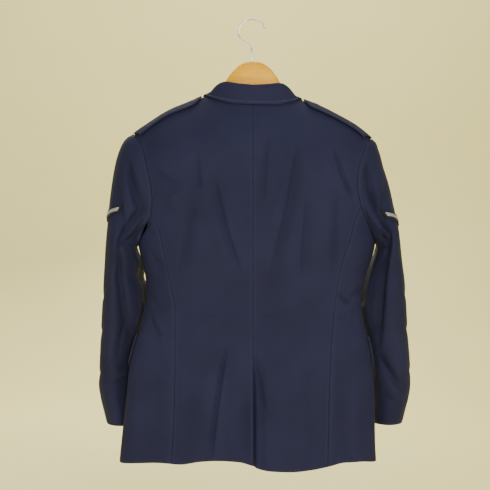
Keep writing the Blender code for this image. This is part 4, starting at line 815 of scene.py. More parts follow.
# Creases: the face they show on (behind, in front, or the outer side of a sleeve), their two ends, how
# far their middle bows aside, their half width at each end, their height (a trough is negative), and how
# much steeper one flank is than the other.
# The two numbers of an end are x and z behind and in front, and y and z on an outer side. Sizes are in
# millimetres, and are turned into metres below the table.
OUTER_LEFT, OUTER_RIGHT = 2, 3
CREASES = table(
    "face a1 z1 a2 z2 bow half1 half2 height lean",
    (BACK, 75, -342, 26, -508, 4, 10, 4.5, -4.5, 0.5), (BACK, 100, -335, 60, -470, 4, 11, 12, 2.2, 0),
    (BACK, -89, -271, -40, -508, -4, 8.5, 10.5, -4.8, -0.5),
    (BACK, -70, -300, -20, -470, -3, 8, 11, 2.2, 0), (BACK, -109, -369, -99, -520, 2, 7.5, 8.5, -3.8, -0.5),
    (BACK, -172, -375, -166, -514, 3, 7, 7.5, -3.6, 0.4), (BACK, -30, -257, -20, -375, 1, 4, 5, -2.8, 0.3),
    (BACK, -166, -276, -200, -366, 3, 4.2, 5, -4.6, 0.4), (BACK, -150, -295, -180, -360, 3, 9, 9, 2, 0),
    (BACK, 111, -290, 105, -350, 1, 8, 8.5, -3.6, 0.4),
    (BACK, 125, -375, 146, -514, -3, 12, 12, -3.4, -0.4), (BACK, 198, -310, 144, -350, 3, 6, 8, -2.6, 0.3),
    (BACK, 54, -680, 81, -870, 2, 3.8, 5.2, -5.2, 0.4), (BACK, 85, -700, 105, -870, 3, 12, 15, 3, 0),
    (BACK, 34, -720, 40, -880, 2, 11, 12, 2.4, 0), (BACK, 204, -609, 184, -646, 2, 4, 5, -3.6, 0.4),
    (BACK, -172, -559, -198, -579, 2, 4, 5, -3.4, 0.4), (BACK, -4, -688, -21, -790, 1, 3.6, 4.6, -4, -0.3),
    (BACK, 12, -771, 14, -870, 1, 8, 10, -2.8, 0), (BACK, 204, -419, 237, -458, 2, 4.5, 5.5, -6, 0.4),
    (BACK, 195, -408, 225, -436, 2, 5, 6, 2.2, 0), (BACK, 162, -364, 150, -395, 2, 11, 12, 2.4, 0),
    (BACK, 10, -582, 92, -589, 3, 4, 6, -0.9, 0.4), (BACK, 30, -600, 110, -612, 2, 5, 5, -0.7, -0.4),
    (BACK, -92, -560, -138, -606, 4, 6, 8, -1.2, 0.3), (BACK, -20, -606, -80, -598, 2, 5, 6, -0.7, -0.3),
    (BACK, -183, -580, -224, -540, 3, 6, 7, -2.6, 0.4), (BACK, -170, -612, -212, -590, 3, 6, 7, -1.6, -0.4),
    (BACK, 205, -478, 178, -512, 2, 6, 9, -2.6, 0.3), (BACK, 212, -560, 176, -598, 3, 6, 9, -1.8, -0.3),
    (BACK, 200, -640, 170, -700, 3, 9, 11, -1.6, 0.4), (BACK, 122, -730, 132, -890, 3, 12, 16, -2.2, -0.4),
    (BACK, -60, -720, -75, -900, 3, 20, 26, 3.6, 0), (BACK, -110, -700, -118, -880, 3, 12, 17, -1.8, 0.3),
    (BACK, -178, -700, -186, -890, 4, 14, 18, -2, -0.3), (BACK, -214, -745, -206, -890, 3, 11, 14, 1.8, 0),
    (BACK, 182, -720, 196, -890, 4, 12, 16, -1.6, 0.4), (BACK, 230, -740, 238, -880, 3, 10, 14, 1.4, 0),
    (BACK, 252, -300, 226, -392, 4, 9, 11, -8.5, -0.4), (BACK, 240, -300, 226, -345, 2, 6, 8, 1.4, 0),
    (BACK, 268, -350, 250, -440, 4, 8, 9, -5, 0.3), (BACK, 222, -390, 266, -464, 3, 9, 10, -9, -0.3),
    (BACK, 266, -466, 249, -650, 3, 9, 11, -10, 0.4), (BACK, 252, -664, 268, -800, 3, 8, 9, -5.5, 0.3),
    (BACK, 276, -500, 284, -610, 3, 7, 10, 1.8, 0), (BACK, 284, -440, 292, -575, 4, 10, 12, -1.8, -0.4),
    (BACK, 258, -630, 272, -700, 3, 8, 9, -5, 0.3), (BACK, 288, -700, 256, -719, 2, 4.5, 5, -2.6, -0.3),
    (BACK, 284, -745, 254, -734, 2, 4.5, 6, -2.6, 0.4), (BACK, 290, -728, 262, -728, 2, 5, 5, 1.6, 0),
    (BACK, 304, -680, 292, -780, 3, 6, 10, -1.6, -0.4),
    (BACK, -234, -300, -246, -400, 3, 10, 10, -8.5, 0.3),
    (BACK, -240, -356, -268, -440, 3, 9, 10, -8.5, -0.3), (BACK, -271, -436, -256, -660, 3, 9, 10, -9, 0.4),
    (BACK, -266, -350, -262, -446, 4, 8, 8, -4, -0.4), (BACK, -268, -470, -276, -600, 3, 8, 11, 1.6, 0),
    (BACK, -284, -480, -290, -590, 3, 8, 10, -1.4, 0.3), (BACK, -246, -650, -256, -700, 2, 5, 6, 2, 0),
    (BACK, -256, -690, -304, -758, 3, 7, 8, -7, -0.3), (BACK, -250, -716, -296, -774, 3, 6, 8, 1.8, 0),
    (BACK, -262, -760, -300, -790, 3, 5, 7, -1.8, 0.4),
    (FRONT, 150, -420, 110, -600, 4, 18, 24, -3.8, -0.4),
    (FRONT, -150, -420, -110, -600, 4, 18, 24, -3.8, 0.3),
    (FRONT, 178, -300, 150, -400, 4, 10, 14, -2.8, -0.3),
    (FRONT, -182, -310, -158, -392, 4, 10, 13, -2.6, 0.4), (FRONT, 30, -520, 90, -500, 3, 5, 8, -1.2, -0.4),
    (FRONT, 28, -560, 100, -585, 3, 5, 9, -1.4, 0.3), (FRONT, -20, -530, -85, -505, 3, 6, 8, -1.2, -0.3),
    (FRONT, -22, -600, -90, -612, 3, 6, 9, -1.4, 0.4), (FRONT, 70, -740, 84, -890, 4, 13, 18, -2.2, -0.4),
    (FRONT, -78, -745, -94, -890, 4, 13, 18, -2.2, 0.3), (FRONT, 150, -750, 166, -890, 4, 12, 16, 1.8, 0),
    (FRONT, -146, -760, -160, -890, 4, 12, 16, 1.8, 0), (FRONT, 262, -690, 315, -740, 3, 8, 10, -4.8, -0.3),
    (FRONT, -268, -690, -322, -740, 3, 8, 10, -4.8, 0.4),
    (FRONT, 256, -560, 300, -620, 3, 8, 10, -2.6, -0.4),
    (FRONT, -262, -570, -306, -626, 3, 8, 10, -2.6, 0.3),
    (FRONT, 258, -640, 304, -655, 3, 7, 9, -2.2, -0.3), (FRONT, -262, -650, -310, -664, 3, 7, 9, -2.2, 0.4),
    (FRONT, 255, -340, 236, -430, 3, 9, 9, -3.4, -0.4), (FRONT, -255, -345, -240, -430, 3, 9, 9, -3.4, 0.3),
    (OUTER_LEFT, 30, -560, -50, -590, 4, 8, 10, -1.8, -0.3),
    (OUTER_LEFT, 20, -630, -70, -650, 4, 7, 10, -2, 0.4),
    (OUTER_LEFT, 0, -480, -20, -600, 5, 12, 12, -1.4, -0.4),
    (OUTER_LEFT, -10, -720, -85, -745, 4, 6, 9, -1.8, 0.3),
    (OUTER_RIGHT, 32, -555, -48, -588, 4, 8, 10, -1.8, -0.3),
    (OUTER_RIGHT, 18, -625, -72, -652, 4, 7, 10, -2, 0.4),
    (OUTER_RIGHT, 4, -476, -22, -590, 5, 12, 12, -1.4, -0.4),
    (OUTER_RIGHT, -12, -716, -88, -742, 4, 6, 9, -1.8, 0.3),
)
MILLIMETRES = 1000.0
for sizes in list(CREASES.values())[1:-1]:
    sizes /= MILLIMETRES


CREASE_FULL_HALF = 0.32
CREASE_END_FADE = 0.20
CREASE_FACING_FROM = 0.1
CREASE_FACING_RAMP = 0.4


def relief(place, normal):
    """Height of the creases at points with these normals."""
    height = np.zeros(place.shape[:-1])
    for face, a1, z1, a2, z2, bow, half1, half2, tall, lean in zip(*CREASES.values()):
        outer = face in (OUTER_LEFT, OUTER_RIGHT)
        facing = {BACK: normal[..., 1], FRONT: -normal[..., 1], OUTER_LEFT: normal[..., 0]}
        toward = facing.get(int(face), -normal[..., 0])
        run = np.array((a2 - a1, z2 - z1))
        length = np.linalg.norm(run)
        from_start = np.stack((place[..., 1 if outer else 0] - a1, place[..., 2] - z1), axis=-1)
        share = from_start @ run / length**2
        aside = (from_start[..., 0] * run[1] - from_start[..., 1] * run[0]) / length
        held = np.clip(share, 0.0, 1.0)
        aside = aside + bow * 4.0 * held * (1.0 - held)
        beyond = np.clip(np.abs(share - 0.5) - CREASE_FULL_HALF, 0.0, None)
        ends = np.exp(-((beyond / CREASE_END_FADE) ** 2))
        shown = ease((toward - CREASE_FACING_FROM) / CREASE_FACING_RAMP)
        half = blend(half1, half2, held) * np.where(aside > 0.0, 1.0 - lean, 1.0 + lean)
        height += tall * np.exp(-((aside / half) ** 2)) * ends * shown
    return height


# Shells
SPACING = 0.0030
EDGE_STEPS = np.array((0.0004, 0.0011, 0.0022))
STEPS_APART = 0.0006
EDGE_LEFT_THICK = 0.15
SEAM_DIP = 0.0005
SEAM_DIP_WIDE = 0.0024
WEAR_WIDE = 0.0020
WEAR_AT = 0.0034
# Width of the painted shade, a darkening of the colour along every seam and free edge of a shell
EDGE_SHADE_WIDE = 0.0012
# Crease depth at which the painted shade in a crease trough is full
CREASE_SHADE_FULL = 0.0070


def refine(values, length, spacing=SPACING):
    """Values with steps between them that are about `spacing` long, and closer ones at both ends."""
    steps = [values[-1:]]
    for first, last in zip(values, values[1:]):
        parts = max(1, math.ceil((last - first) * length / spacing))
        steps.append(first + (last - first) * np.arange(parts) / parts)
    near = EDGE_STEPS / length
    ends = np.array((values[0], values[-1]))
    steps += [values[0] + near, values[-1] - near]
    inner = np.unique(np.concatenate(steps))
    fixed = np.concatenate((ends, values[0] + near, values[-1] - near))
    apart = np.min(np.abs(inner[:, None] - fixed[None, :]), axis=1)
    inner = inner[apart > STEPS_APART / length]
    return np.sort(np.concatenate((inner, fixed)))


def edge_distance(place):
    """Distance of each point of a grid from the grid's nearest edge, and its two arc lengths."""
    runs = []
    nearest = np.full(place.shape[:2], np.inf)
    for axis in (0, 1):
        step = np.linalg.norm(np.diff(place, axis=axis), axis=-1)
        start = np.zeros_like(np.take(step, [0], axis=axis))
        run = np.concatenate((start, np.cumsum(step, axis=axis)), axis=axis)
        whole = np.take(run, [-1], axis=axis)
        nearest = np.minimum(nearest, np.minimum(run, whole - run))
        runs.append(run)
    return nearest, runs


def grid_faces(across, down, start, flip):
    """Four-sided faces of a grid of vertices that begins at `start`."""
    i, j = np.meshgrid(np.arange(across - 1), np.arange(down - 1), indexing="ij")
    corner = (start + i * down + j).ravel()
    faces = np.stack((corner, corner + down, corner + down + 1, corner + 1), axis=1)
    return faces[:, ::-1] if flip else faces


def make_piece(name, vertices, faces, material, slot, *replaced):
    """Smooth mesh object that rides on the root and takes the place of the named nodes."""
    mesh = bpy.data.meshes.new(name)
    mesh.from_pydata(np.asarray(vertices, dtype=float).tolist(), [], [list(map(int, face)) for face in faces])
    mesh.materials.append(material)
    mesh.shade_smooth()
    piece = bpy.data.objects.new(name, mesh)
    bpy.context.scene.collection.objects.link(piece)
    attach(piece, "root")
    if replaced:
        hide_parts(*replaced)
    return piece


def closed_faces(across, down, flip):
    """Faces of two grids of points, the outer one and the inner one, and of the rim between them."""
    count = across * down
    border = [i * down for i in range(across)]
    border += [(across - 1) * down + j for j in range(1, down)]
    border += [i * down + down - 1 for i in range(across - 2, -1, -1)]
    border = np.array(border + list(range(down - 2, 0, -1)))
    after = np.roll(border, -1)
    rim = np.stack((after, border, border + count, after + count), axis=1)
    walls = grid_faces(across, down, 0, flip), grid_faces(across, down, count, not flip)
    return np.concatenate((*walls, rim[:, ::-1] if flip else rim))


def store_flat(piece, runs):
    """Place of each corner on the cloth laid flat."""
    flat = np.stack((runs[0].ravel(), runs[1].ravel()), axis=1)
    flat = np.concatenate((flat, flat))
    layer = piece.data.uv_layers.new(name="flat")
    corners = np.empty(len(piece.data.loops), dtype=np.int64)
    piece.data.loops.foreach_get("vertex_index", corners)
    layer.data.foreach_set("uv", flat[corners].ravel().astype(np.float32))


def store_shares(piece, **shares):
    """Shares that the points of the outer and the inner grid carry, by name."""
    for label, share in shares.items():
        both = np.concatenate((share.ravel(), share.ravel()))
        attribute = piece.data.attributes.new(label, "FLOAT", "POINT")
        attribute.data.foreach_set("value", both.astype(np.float32))


def make_shell(name, place, normal, thick, flip, material, slot, node=None, lift=0.0, dip=SEAM_DIP):
    """Closed thin shell whose outer face is a grid of points with its creases and soft edges."""
    distance, runs = edge_distance(place)
    half = thick / 2
    inward = np.clip(1.0 - distance / half, 0.0, 1.0)
    sink = half * (1.0 - EDGE_LEFT_THICK) * (1.0 - np.sqrt(1.0 - inward**2))
    soft = dip * np.exp(-((distance / SEAM_DIP_WIDE) ** 2))
    creases = relief(place, normal)
    height = creases + lift - soft
    outer = place + normal * (height - sink)[..., None]
    inner = place + normal * (height - thick + sink)[..., None]
    vertices = np.concatenate((outer.reshape(-1, 3), inner.reshape(-1, 3)))
    faces = closed_faces(*place.shape[:2], flip)
    piece = make_piece(name, vertices, faces, material, slot, *([node] if node else []))
    store_flat(piece, runs)
    # Shares the cloth material reads: a band of real wear near the edges, painted shade along seams and free
    # edges (the seam share), and painted shade in crease troughs
    wear = np.exp(-(((distance - WEAR_AT) / WEAR_WIDE) ** 2))
    seam = np.exp(-((distance / EDGE_SHADE_WIDE) ** 2))
    store_shares(piece, wear=wear, seam=seam, hollow=np.clip(-creases / CREASE_SHADE_FULL, 0.0, 1.0))
    return piece


def wall_shell(node, surface, across, down, outward, span, lift=0.0, thick=CLOTH, **more):
    """Cloth shell of one node, on a surface of two parameters, with steps worked out from its span."""
    u, v = np.meshgrid(refine(across, span[0]), refine(down, span[1]), indexing="ij")
    normal = normals(surface, u, v, outward)
    more["lift"] = lift(u, v) if callable(lift) else lift
    return make_shell(f"cloth_{node}", surface(u, v), normal, thick, outward < 0, node=node, **more)


# Materials
# A noise is its scale, detail and roughness, a bump its strength and its depth in metres, and tones are
# the places of the dark and the light colour on a ramp.
NAP_TINT = (0.62, 0.66, 0.80, 1.0)
NAP_ROUGH = 0.45
CLOTH_SHINE = 0.12
CLOTH_DRIFT = (9.0, 4.0, 0.55)
CLOTH_FLECK = (900.0, 2.0, 0.7)
CLOTH_RUB = (60.0, 3.0)
CLOTH_CRUMPLE = (26.0, 3.0, 0.5)
CLOTH_TONES = (0.50, 0.95)
CLOTH_ROUGH_SPREAD = 0.08
FLECK_IN_TONE = 0.5
FLECK_IN_WEAVE = 1.6
# Painted shade: how much darker the colour grows along seams and free edges and in crease troughs, and the
# darkest shaded colour as a share of the dark tone
EDGE_SHADE_DARKER = 0.12
CREASE_SHADE_DARKER = 0.30
PAINTED_SHADE_SHARE = 0.25
RIB_LEAN = 0.8
YARN_LEAN = -2.2
YARN_PITCH_SHARE = 0.61
YARN_IN_WEAVE = 0.5
WEAVE_BUMP = (0.35, 0.00010)
CRUMPLE_BUMP = (0.5, 0.0016)
THREAD_ROUGH = 0.55
THREAD_NAP = 0.3
THREAD_FLECK = (1400.0, 2.0)
THREAD_TONES = (0.35, 0.70)
THREAD_BUMP = (0.4, 0.0001)
SATIN_NAP = 0.5
SATIN_NAP_ROUGH = 0.3
SATIN_PITCH = 0.0007
SATIN_LEAN = 0.15
SATIN_FLECK = (700.0, 3.0)
SATIN_ROWS_IN_TONE = 0.18
SATIN_TONES = (0.30, 0.72)
SATIN_BUMP = (0.7, 0.0002)
SATIN_ROUGH = (0.45, 0.7)
LACQUER = {"Coat_Weight": 0.05, "Coat_Roughness": 0.25, "Specular_IOR_Level": 0.20}
GRAIN_STRETCH = (6.0, 60.0, 70.0)
PORE_STRETCH = (90.0, 900.0, 1100.0)
GRAIN = (1.0, 6.0, 0.6)
PORES = (1.0, 2.0, 0.6)
PORES_IN_TONE = 0.25
WOOD_STOPS = ((0.40, (0.50, 0.23, 0.004)), (0.60, (0.72, 0.35, 0.006)), (0.80, (0.80, 0.43, 0.010)))
WOOD_BUMP = (0.25, 0.0003)
WOOD_ROUGH = (0.30, 0.48)
SCRATCH_STRETCH = (2500.0, 300.0, 400.0)
SCRATCHES = (1.0, 2.0)
SCRATCH_BUMP = (0.08, 0.00005)
DULLNESS = (4.0, 0.6)
METAL_TONES = (0.35, 0.65)
FLOOR_ROUGH = 0.9
FLOOR_DRIFT = 3.0
FLOOR_STOPS = ((0.3, (0.90, 0.82, 0.37)), (0.7, (0.92, 0.84, 0.39)))


def add_node(tree, kind, links=(), **settings):
    """Shader node with its settings, and its inputs set or linked."""
    made = tree.nodes.new(kind)
    for key, value in settings.items():
        setattr(made, key, value)
    for socket, value in links:
        if isinstance(value, bpy.types.NodeSocket):
            tree.links.new(value, made.inputs[socket])
        else:
            made.inputs[socket].default_value = value
    return made


def new_material(name, **values):
    """Material with its shader's own sockets set."""
    made = bpy.data.materials.new(name)
    made.use_nodes = True
    shader = made.node_tree.nodes["Principled BSDF"]
    for socket, value in values.items():
        shader.inputs[socket.replace("_", " ")].default_value = value
    return made, made.node_tree, shader


def set_links(tree, shader, **sockets):
    """Shader sockets linked to the outputs of nodes."""
    for socket, output in sockets.items():
        tree.links.new(output, shader.inputs[socket.replace("_", " ")])


def object_place(tree):
    """Place in the object's own metres."""
    return add_node(tree, "ShaderNodeTexCoord").outputs["Object"]


def flat_place(tree):
    """Place on a shell's cloth laid flat, in metres."""
    return add_node(tree, "ShaderNodeUVMap", uv_map="flat").outputs["UV"]


def stretched(tree, place, scale):
    """Place multiplied by three factors."""
    return add_node(tree, "ShaderNodeMapping", [("Vector", place), ("Scale", scale)]).outputs["Vector"]


def share_node(tree, label):
    """Share that each point of a shell carries under a label."""
    return add_node(tree, "ShaderNodeAttribute", attribute_name=label).outputs["Fac"]


def ramp_node(tree, factor, *stops):
    """Colour of a ramp with stops of place and colour."""
    made = add_node(tree, "ShaderNodeValToRGB", [("Fac", factor)])
    elements = made.color_ramp.elements
    while len(elements) < len(stops):
        elements.new(0.5)
    for element, (place, colour) in zip(elements, stops):
        element.position = place
        element.color = (*colour, 1.0)
    return made.outputs["Color"]


def noise_node(tree, vector, scale, detail=3.0, roughness=0.5):
    """Noise of a given scale."""
    links = [("Vector", vector), ("Scale", scale), ("Detail", detail), ("Roughness", roughness)]
    return add_node(tree, "ShaderNodeTexNoise", links).outputs["Fac"]


def maths_node(tree, operation, first, second=0.0):
    """One sum of two numbers."""
    return add_node(tree, "ShaderNodeMath", [(0, first), (1, second)], operation=operation).outputs[0]


def sum_node(tree, first, second, factor):
    """First number plus the second one times a factor."""
    return maths_node(tree, "ADD", first, maths_node(tree, "MULTIPLY", second, factor))


def mix_node(tree, share, first, second):
    """Mix of a linked colour with a plain one."""
    made = add_node(tree, "ShaderNodeMix", data_type="RGBA")
    tree.links.new(share, made.inputs["Factor"])
    tree.links.new(first, made.inputs["A"])
    made.inputs["B"].default_value = (*second, 1.0)
    return made.outputs["Result"]


def range_node(tree, share, low, high):
    """Share from 0 to 1 stretched to run from low to high."""
    links = [("Value", share), ("To Min", low), ("To Max", high)]
    return add_node(tree, "ShaderNodeMapRange", links).outputs["Result"]


def bump_node(tree, height, strength, depth, *under):
    """Normal that a height roughens, over another normal where one is given."""
    links = [("Height", height), ("Strength", strength), ("Distance", depth)]
    links += [("Normal", normal) for normal in under]
    return add_node(tree, "ShaderNodeBump", links).outputs["Normal"]


def twill_node(tree, flat, pitch, lean):
    """Height of fine diagonal ribs on a shell's flat coordinates."""
    split = add_node(tree, "ShaderNodeSeparateXYZ", [("Vector", flat)])
    total = sum_node(tree, split.outputs["X"], split.outputs["Y"], lean)
    return maths_node(tree, "SINE", maths_node(tree, "MULTIPLY", total, math.tau / pitch))


def cloth_material(name, dark, light, worn, pitch=0.0012, rough=0.78, sheen=0.35):
    """Wool cloth with a fine twill, a soft nap, tonal drift, lighter worn edges, and painted shade along
    seams, free edges and crease troughs.
    """
    nap = {"Sheen_Weight": sheen, "Sheen_Roughness": NAP_ROUGH, "Sheen_Tint": NAP_TINT}
    made, tree, shader = new_material(name, Specular_IOR_Level=CLOTH_SHINE, **nap)
    solid, flat = object_place(tree), flat_place(tree)
    drift = noise_node(tree, solid, *CLOTH_DRIFT)
    fleck = noise_node(tree, solid, *CLOTH_FLECK)
    tone = sum_node(tree, drift, fleck, FLECK_IN_TONE)
    rubbed = maths_node(tree, "MULTIPLY", share_node(tree, "wear"), noise_node(tree, solid, *CLOTH_RUB))
    colour = mix_node(tree, rubbed, ramp_node(tree, tone, *zip(CLOTH_TONES, (dark, light))), worn)
    # Painted shade along seams and free edges and in crease troughs, mixed into the colour
    seam = maths_node(tree, "MULTIPLY", share_node(tree, "seam"), EDGE_SHADE_DARKER)
    painted_shade = sum_node(tree, seam, share_node(tree, "hollow"), CREASE_SHADE_DARKER)
    colour = mix_node(tree, painted_shade, colour, [part * PAINTED_SHADE_SHARE for part in dark])
    rib = twill_node(tree, flat, pitch, RIB_LEAN)
    yarn = twill_node(tree, flat, pitch * YARN_PITCH_SHARE, YARN_LEAN)
    weave = sum_node(tree, sum_node(tree, rib, yarn, YARN_IN_WEAVE), fleck, FLECK_IN_WEAVE)
    fine = bump_node(tree, weave, *WEAVE_BUMP)
    soft = bump_node(tree, noise_node(tree, solid, *CLOTH_CRUMPLE), *CRUMPLE_BUMP, fine)
    roughness = range_node(tree, drift, rough - CLOTH_ROUGH_SPREAD, rough + CLOTH_ROUGH_SPREAD)
    set_links(tree, shader, Base_Color=colour, Normal=soft, Roughness=roughness)
    return made


def thread_material(name, dark, light):
    """Twisted sewing thread."""
    made, tree, shader = new_material(name, Roughness=THREAD_ROUGH, Sheen_Weight=THREAD_NAP)
    fleck = noise_node(tree, object_place(tree), *THREAD_FLECK)
    colour = ramp_node(tree, fleck, *zip(THREAD_TONES, (dark, light)))
    set_links(tree, shader, Base_Color=colour, Normal=bump_node(tree, fleck, *THREAD_BUMP))
    return made


def stripe_material(name, dark, light):
    """Satin stitches that lie across a stripe."""
    made, tree, shader = new_material(name, Sheen_Weight=SATIN_NAP, Sheen_Roughness=SATIN_NAP_ROUGH)
    rows = twill_node(tree, flat_place(tree), SATIN_PITCH, SATIN_LEAN)
    fleck = noise_node(tree, object_place(tree), *SATIN_FLECK)
    tone = sum_node(tree, fleck, rows, SATIN_ROWS_IN_TONE)
    colour = ramp_node(tree, tone, *zip(SATIN_TONES, (dark, light)))
    normal, roughness = bump_node(tree, tone, *SATIN_BUMP), range_node(tree, fleck, *SATIN_ROUGH)
    set_links(tree, shader, Base_Color=colour, Normal=normal, Roughness=roughness)
    return made


def wood_material(name):
    """Golden lacquered beech with long grain, short pores and rubbed patches."""
    made, tree, shader = new_material(name, **LACQUER)
    place = object_place(tree)
    grain = noise_node(tree, stretched(tree, place, GRAIN_STRETCH), *GRAIN)
    pore = noise_node(tree, stretched(tree, place, PORE_STRETCH), *PORES)
    tone = sum_node(tree, grain, pore, PORES_IN_TONE)
    normal, roughness = bump_node(tree, tone, *WOOD_BUMP), range_node(tree, pore, *WOOD_ROUGH)
    set_links(tree, shader, Base_Color=ramp_node(tree, tone, *WOOD_STOPS), Normal=normal, Roughness=roughness)
    return made


def metal_material(name, dark, light, low, high, scale):
    """Plated metal with faint scratches and dull patches."""
    made, tree, shader = new_material(name, Metallic=1.0)
    place = object_place(tree)
    dull = noise_node(tree, place, scale, *DULLNESS)
    fine = noise_node(tree, stretched(tree, place, SCRATCH_STRETCH), *SCRATCHES)
    colour = ramp_node(tree, dull, *zip(METAL_TONES, (dark, light)))
    normal, roughness = bump_node(tree, fine, *SCRATCH_BUMP), range_node(tree, dull, low, high)
    set_links(tree, shader, Base_Color=colour, Normal=normal, Roughness=roughness)
    return made


def floor_material(name):
    """Pale matt floor."""
    made, tree, shader = new_material(name, Roughness=FLOOR_ROUGH)
    drift = noise_node(tree, object_place(tree), FLOOR_DRIFT)
    set_links(tree, shader, Base_Color=ramp_node(tree, drift, *FLOOR_STOPS))
    return made


NAVY_TONES = ((0.0100, 0.0107, 0.0310), (0.0152, 0.0163, 0.0430), (0.017, 0.019, 0.046))
FELT_TONES = ((0.006, 0.007, 0.013), (0.011, 0.012, 0.022), (0.02, 0.02, 0.03))
FELT_PITCH = 0.0016
NAVY = cloth_material("navy_serge", *NAVY_TONES, sheen=0.04)
PATCH_GROUND = cloth_material("patch_felt", *FELT_TONES, FELT_PITCH, sheen=0.1)
STRIPE = stripe_material("stripe_satin", (0.13, 0.125, 0.115), (0.34, 0.33, 0.31))
THREAD = thread_material("navy_thread", (0.016, 0.019, 0.038), (0.045, 0.050, 0.085))
WOOD = wood_material("golden_beech")
CHROME = metal_material("hook_plating", (0.50, 0.50, 0.49), (0.78, 0.78, 0.77), 0.10, 0.24, 120.0)
BUTTON = metal_material("button_plating", (0.36, 0.36, 0.35), (0.66, 0.66, 0.64), 0.22, 0.42, 260.0)

# Panels, sleeves and collar
# A span is about how wide and how long a piece is, from which the steps of its shell are worked out.
PANEL = {"material": NAVY, "slot": "navy_cloth"}
WIDE_PANEL_SPAN = (0.20, 0.72)
SIDE_PANEL_SPAN = (0.17, 0.48)
LAPEL_SPAN = (0.06, 0.27)
LAPEL_COLUMNS = 7
LAPEL_ROWS = 13
COLLAR_SPAN = (0.20, 0.075)
COLLAR_SPACING = 0.0018
SLEEVE_SPAN = (0.06, 0.62)
LOOP_SPAN = (0.025, 0.13)
LOOP_COLUMNS = 8
FLAP_ROWS = 5
CENTRE_LINE_AT = 0.0055
CENTRE_LINE_HALF = 0.0011
CENTRE_LINE_DEPTH = 0.0005
HEM_TURN_UP = 0.040
HEM_TURN_HALF = 0.0025
HEM_TURN_DEPTH = 0.0004
VENT_FLARE = 0.0060
VENT_FLARE_WIDE = 0.018
VENT_HOLLOW = 0.0070
VENT_HOLLOW_AT = 0.0010
VENT_HOLLOW_HALF = 0.0040


def groove(distance, half, depth):
    """Soft line pressed into cloth at no distance."""
    return -depth * np.exp(-((distance / half) ** 2))


def back_lift(side):
    """Lift of a back panel: the line beside its centre seam, its hem's turn-up and its vent's flare."""
    length = BACK_HEM[side]["drop"][0] - centre_top(side)

    def lift(across, way):
        place = back_panel(side)(across, way)
        out, drop = side * place[..., 0], -place[..., 2]
        above = ease((VENT_TOP - drop) / VENT_SLOPE)
        height = groove(out - CENTRE_LINE_AT, CENTRE_LINE_HALF, CENTRE_LINE_DEPTH) * above
        height += groove((1.0 - way) * length - HEM_TURN_UP, HEM_TURN_HALF, HEM_TURN_DEPTH)
        if side == LEFT:
            low = ease((drop - VENT_TOP) / (HEM_LEVEL - VENT_TOP))
            height += VENT_FLARE * low * np.exp(-((out / VENT_FLARE_WIDE) ** 2))
        else:
            opened = ease((drop - VENT_TOP) / VENT_SINK)
            height += groove(out - VENT_HOLLOW_AT, VENT_HOLLOW_HALF, VENT_HOLLOW) * opened
        return height

    return lift


def make_body():
    """Back, side and front panels of both sides."""
    side_columns = np.linspace(0.0, 1.0, SIDE_COLUMNS)
    shoulder = np.linspace(0.0, 1.0, SHOULDER_COLUMNS)
    across = np.concatenate((BACK_COLUMNS, blend(NECK_HALF / SHOULDER_TIP, 1.0, shoulder)))
    for side, name in SIDES.items():
        back_rows = panel_rows(side, BACK_EDGE, BACK_CORNER, BACK_HEM)
        front_rows = panel_rows(side, FRONT_EDGE, FRONT_CORNER, FRONT_HEM)
        more = dict(PANEL, lift=back_lift(side))
        wall_shell(f"back_{name}", back_panel(side), across, back_rows, side, WIDE_PANEL_SPAN, **more)
        below = lower_rows(side)
        wall_shell(f"side_{name}", side_panel(side), side_columns, below, side, SIDE_PANEL_SPAN, **PANEL)
        wall_shell(f"front_{name}", front_panel(side), shoulder, front_rows, -side, WIDE_PANEL_SPAN, **PANEL)


def lapel_lift(u, v):
    """How far a lapel swells off its front."""
    return LAP + LAPEL_SWELL * np.sin(math.pi * np.clip(u, 0.0, 1.0)) * (1.0 - v**2)


def make_lapels():
    """Turned-back lapels, each a shell that swells softly off its front."""
    across, down = np.linspace(0.0, 1.0, LAPEL_COLUMNS), np.linspace(0.0, 1.0, LAPEL_ROWS)
    more = dict(PANEL, lift=lapel_lift)
    for side, name in SIDES.items():
        wall_shell(f"lapel_{name}", lapel_surface(side), across, down, -side, LAPEL_SPAN, **more)


def make_collar():
    """Collar as one shell from front end to front end."""
    half = refine(np.array(COLLAR_COLUMNS), COLLAR_SPAN[0])
    rows = refine(np.array(COLLAR_ROWS), COLLAR_SPAN[1], COLLAR_SPACING)
    u, way = np.meshgrid(np.concatenate((-half[:0:-1], half)), rows, indexing="ij")
    normal = normals(collar_surface, u, way, 1)
    make_shell("cloth_collar", collar_surface(u, way), normal, CLOTH, False, node="collar", dip=0.0, **PANEL)


def make_sleeves():
    """Top sleeve and under sleeve of both sides, split along their two seams."""
    rows = np.concatenate((np.linspace(0.0, FAN_SHARE, FAN_ROWS), np.linspace(FAN_SHARE, 1.0, TUBE_ROWS)[1:]))
    hind, fore = UPPER_ROWS + 1, UPPER_ROWS + SIDE_COLUMNS - 2
    for side, name in SIDES.items():
        surface = sleeve_surface(side)
        turns = armhole_turns(side)
        under = turns[hind : fore + 1].copy()
        top = np.concatenate((turns[fore:] - math.tau, turns[: hind + 1]))
        for part, span in {"under": under, "top": top}.items():
            span[[0, -1]] += np.array((SEAM_ANGLE, -SEAM_ANGLE))
            steps = refine(span, SLEEVE_SPAN[0]), refine(rows, SLEEVE_SPAN[1])
            turn, down = np.meshgrid(*steps, indexing="ij")
            normal = normals(surface, turn, down, -side)
            ring = normal[:, 0]
            ring[:, 0] = side * np.minimum(side * ring[:, 0], np.abs(armhole_normal_x(side, turn[:, 0])))
            normal = unit(normal)
            node = f"sleeve_{part}_{name}"
            make_shell(f"cloth_{node}", surface(turn, down), normal, CLOTH, side > 0, node=node, **PANEL)


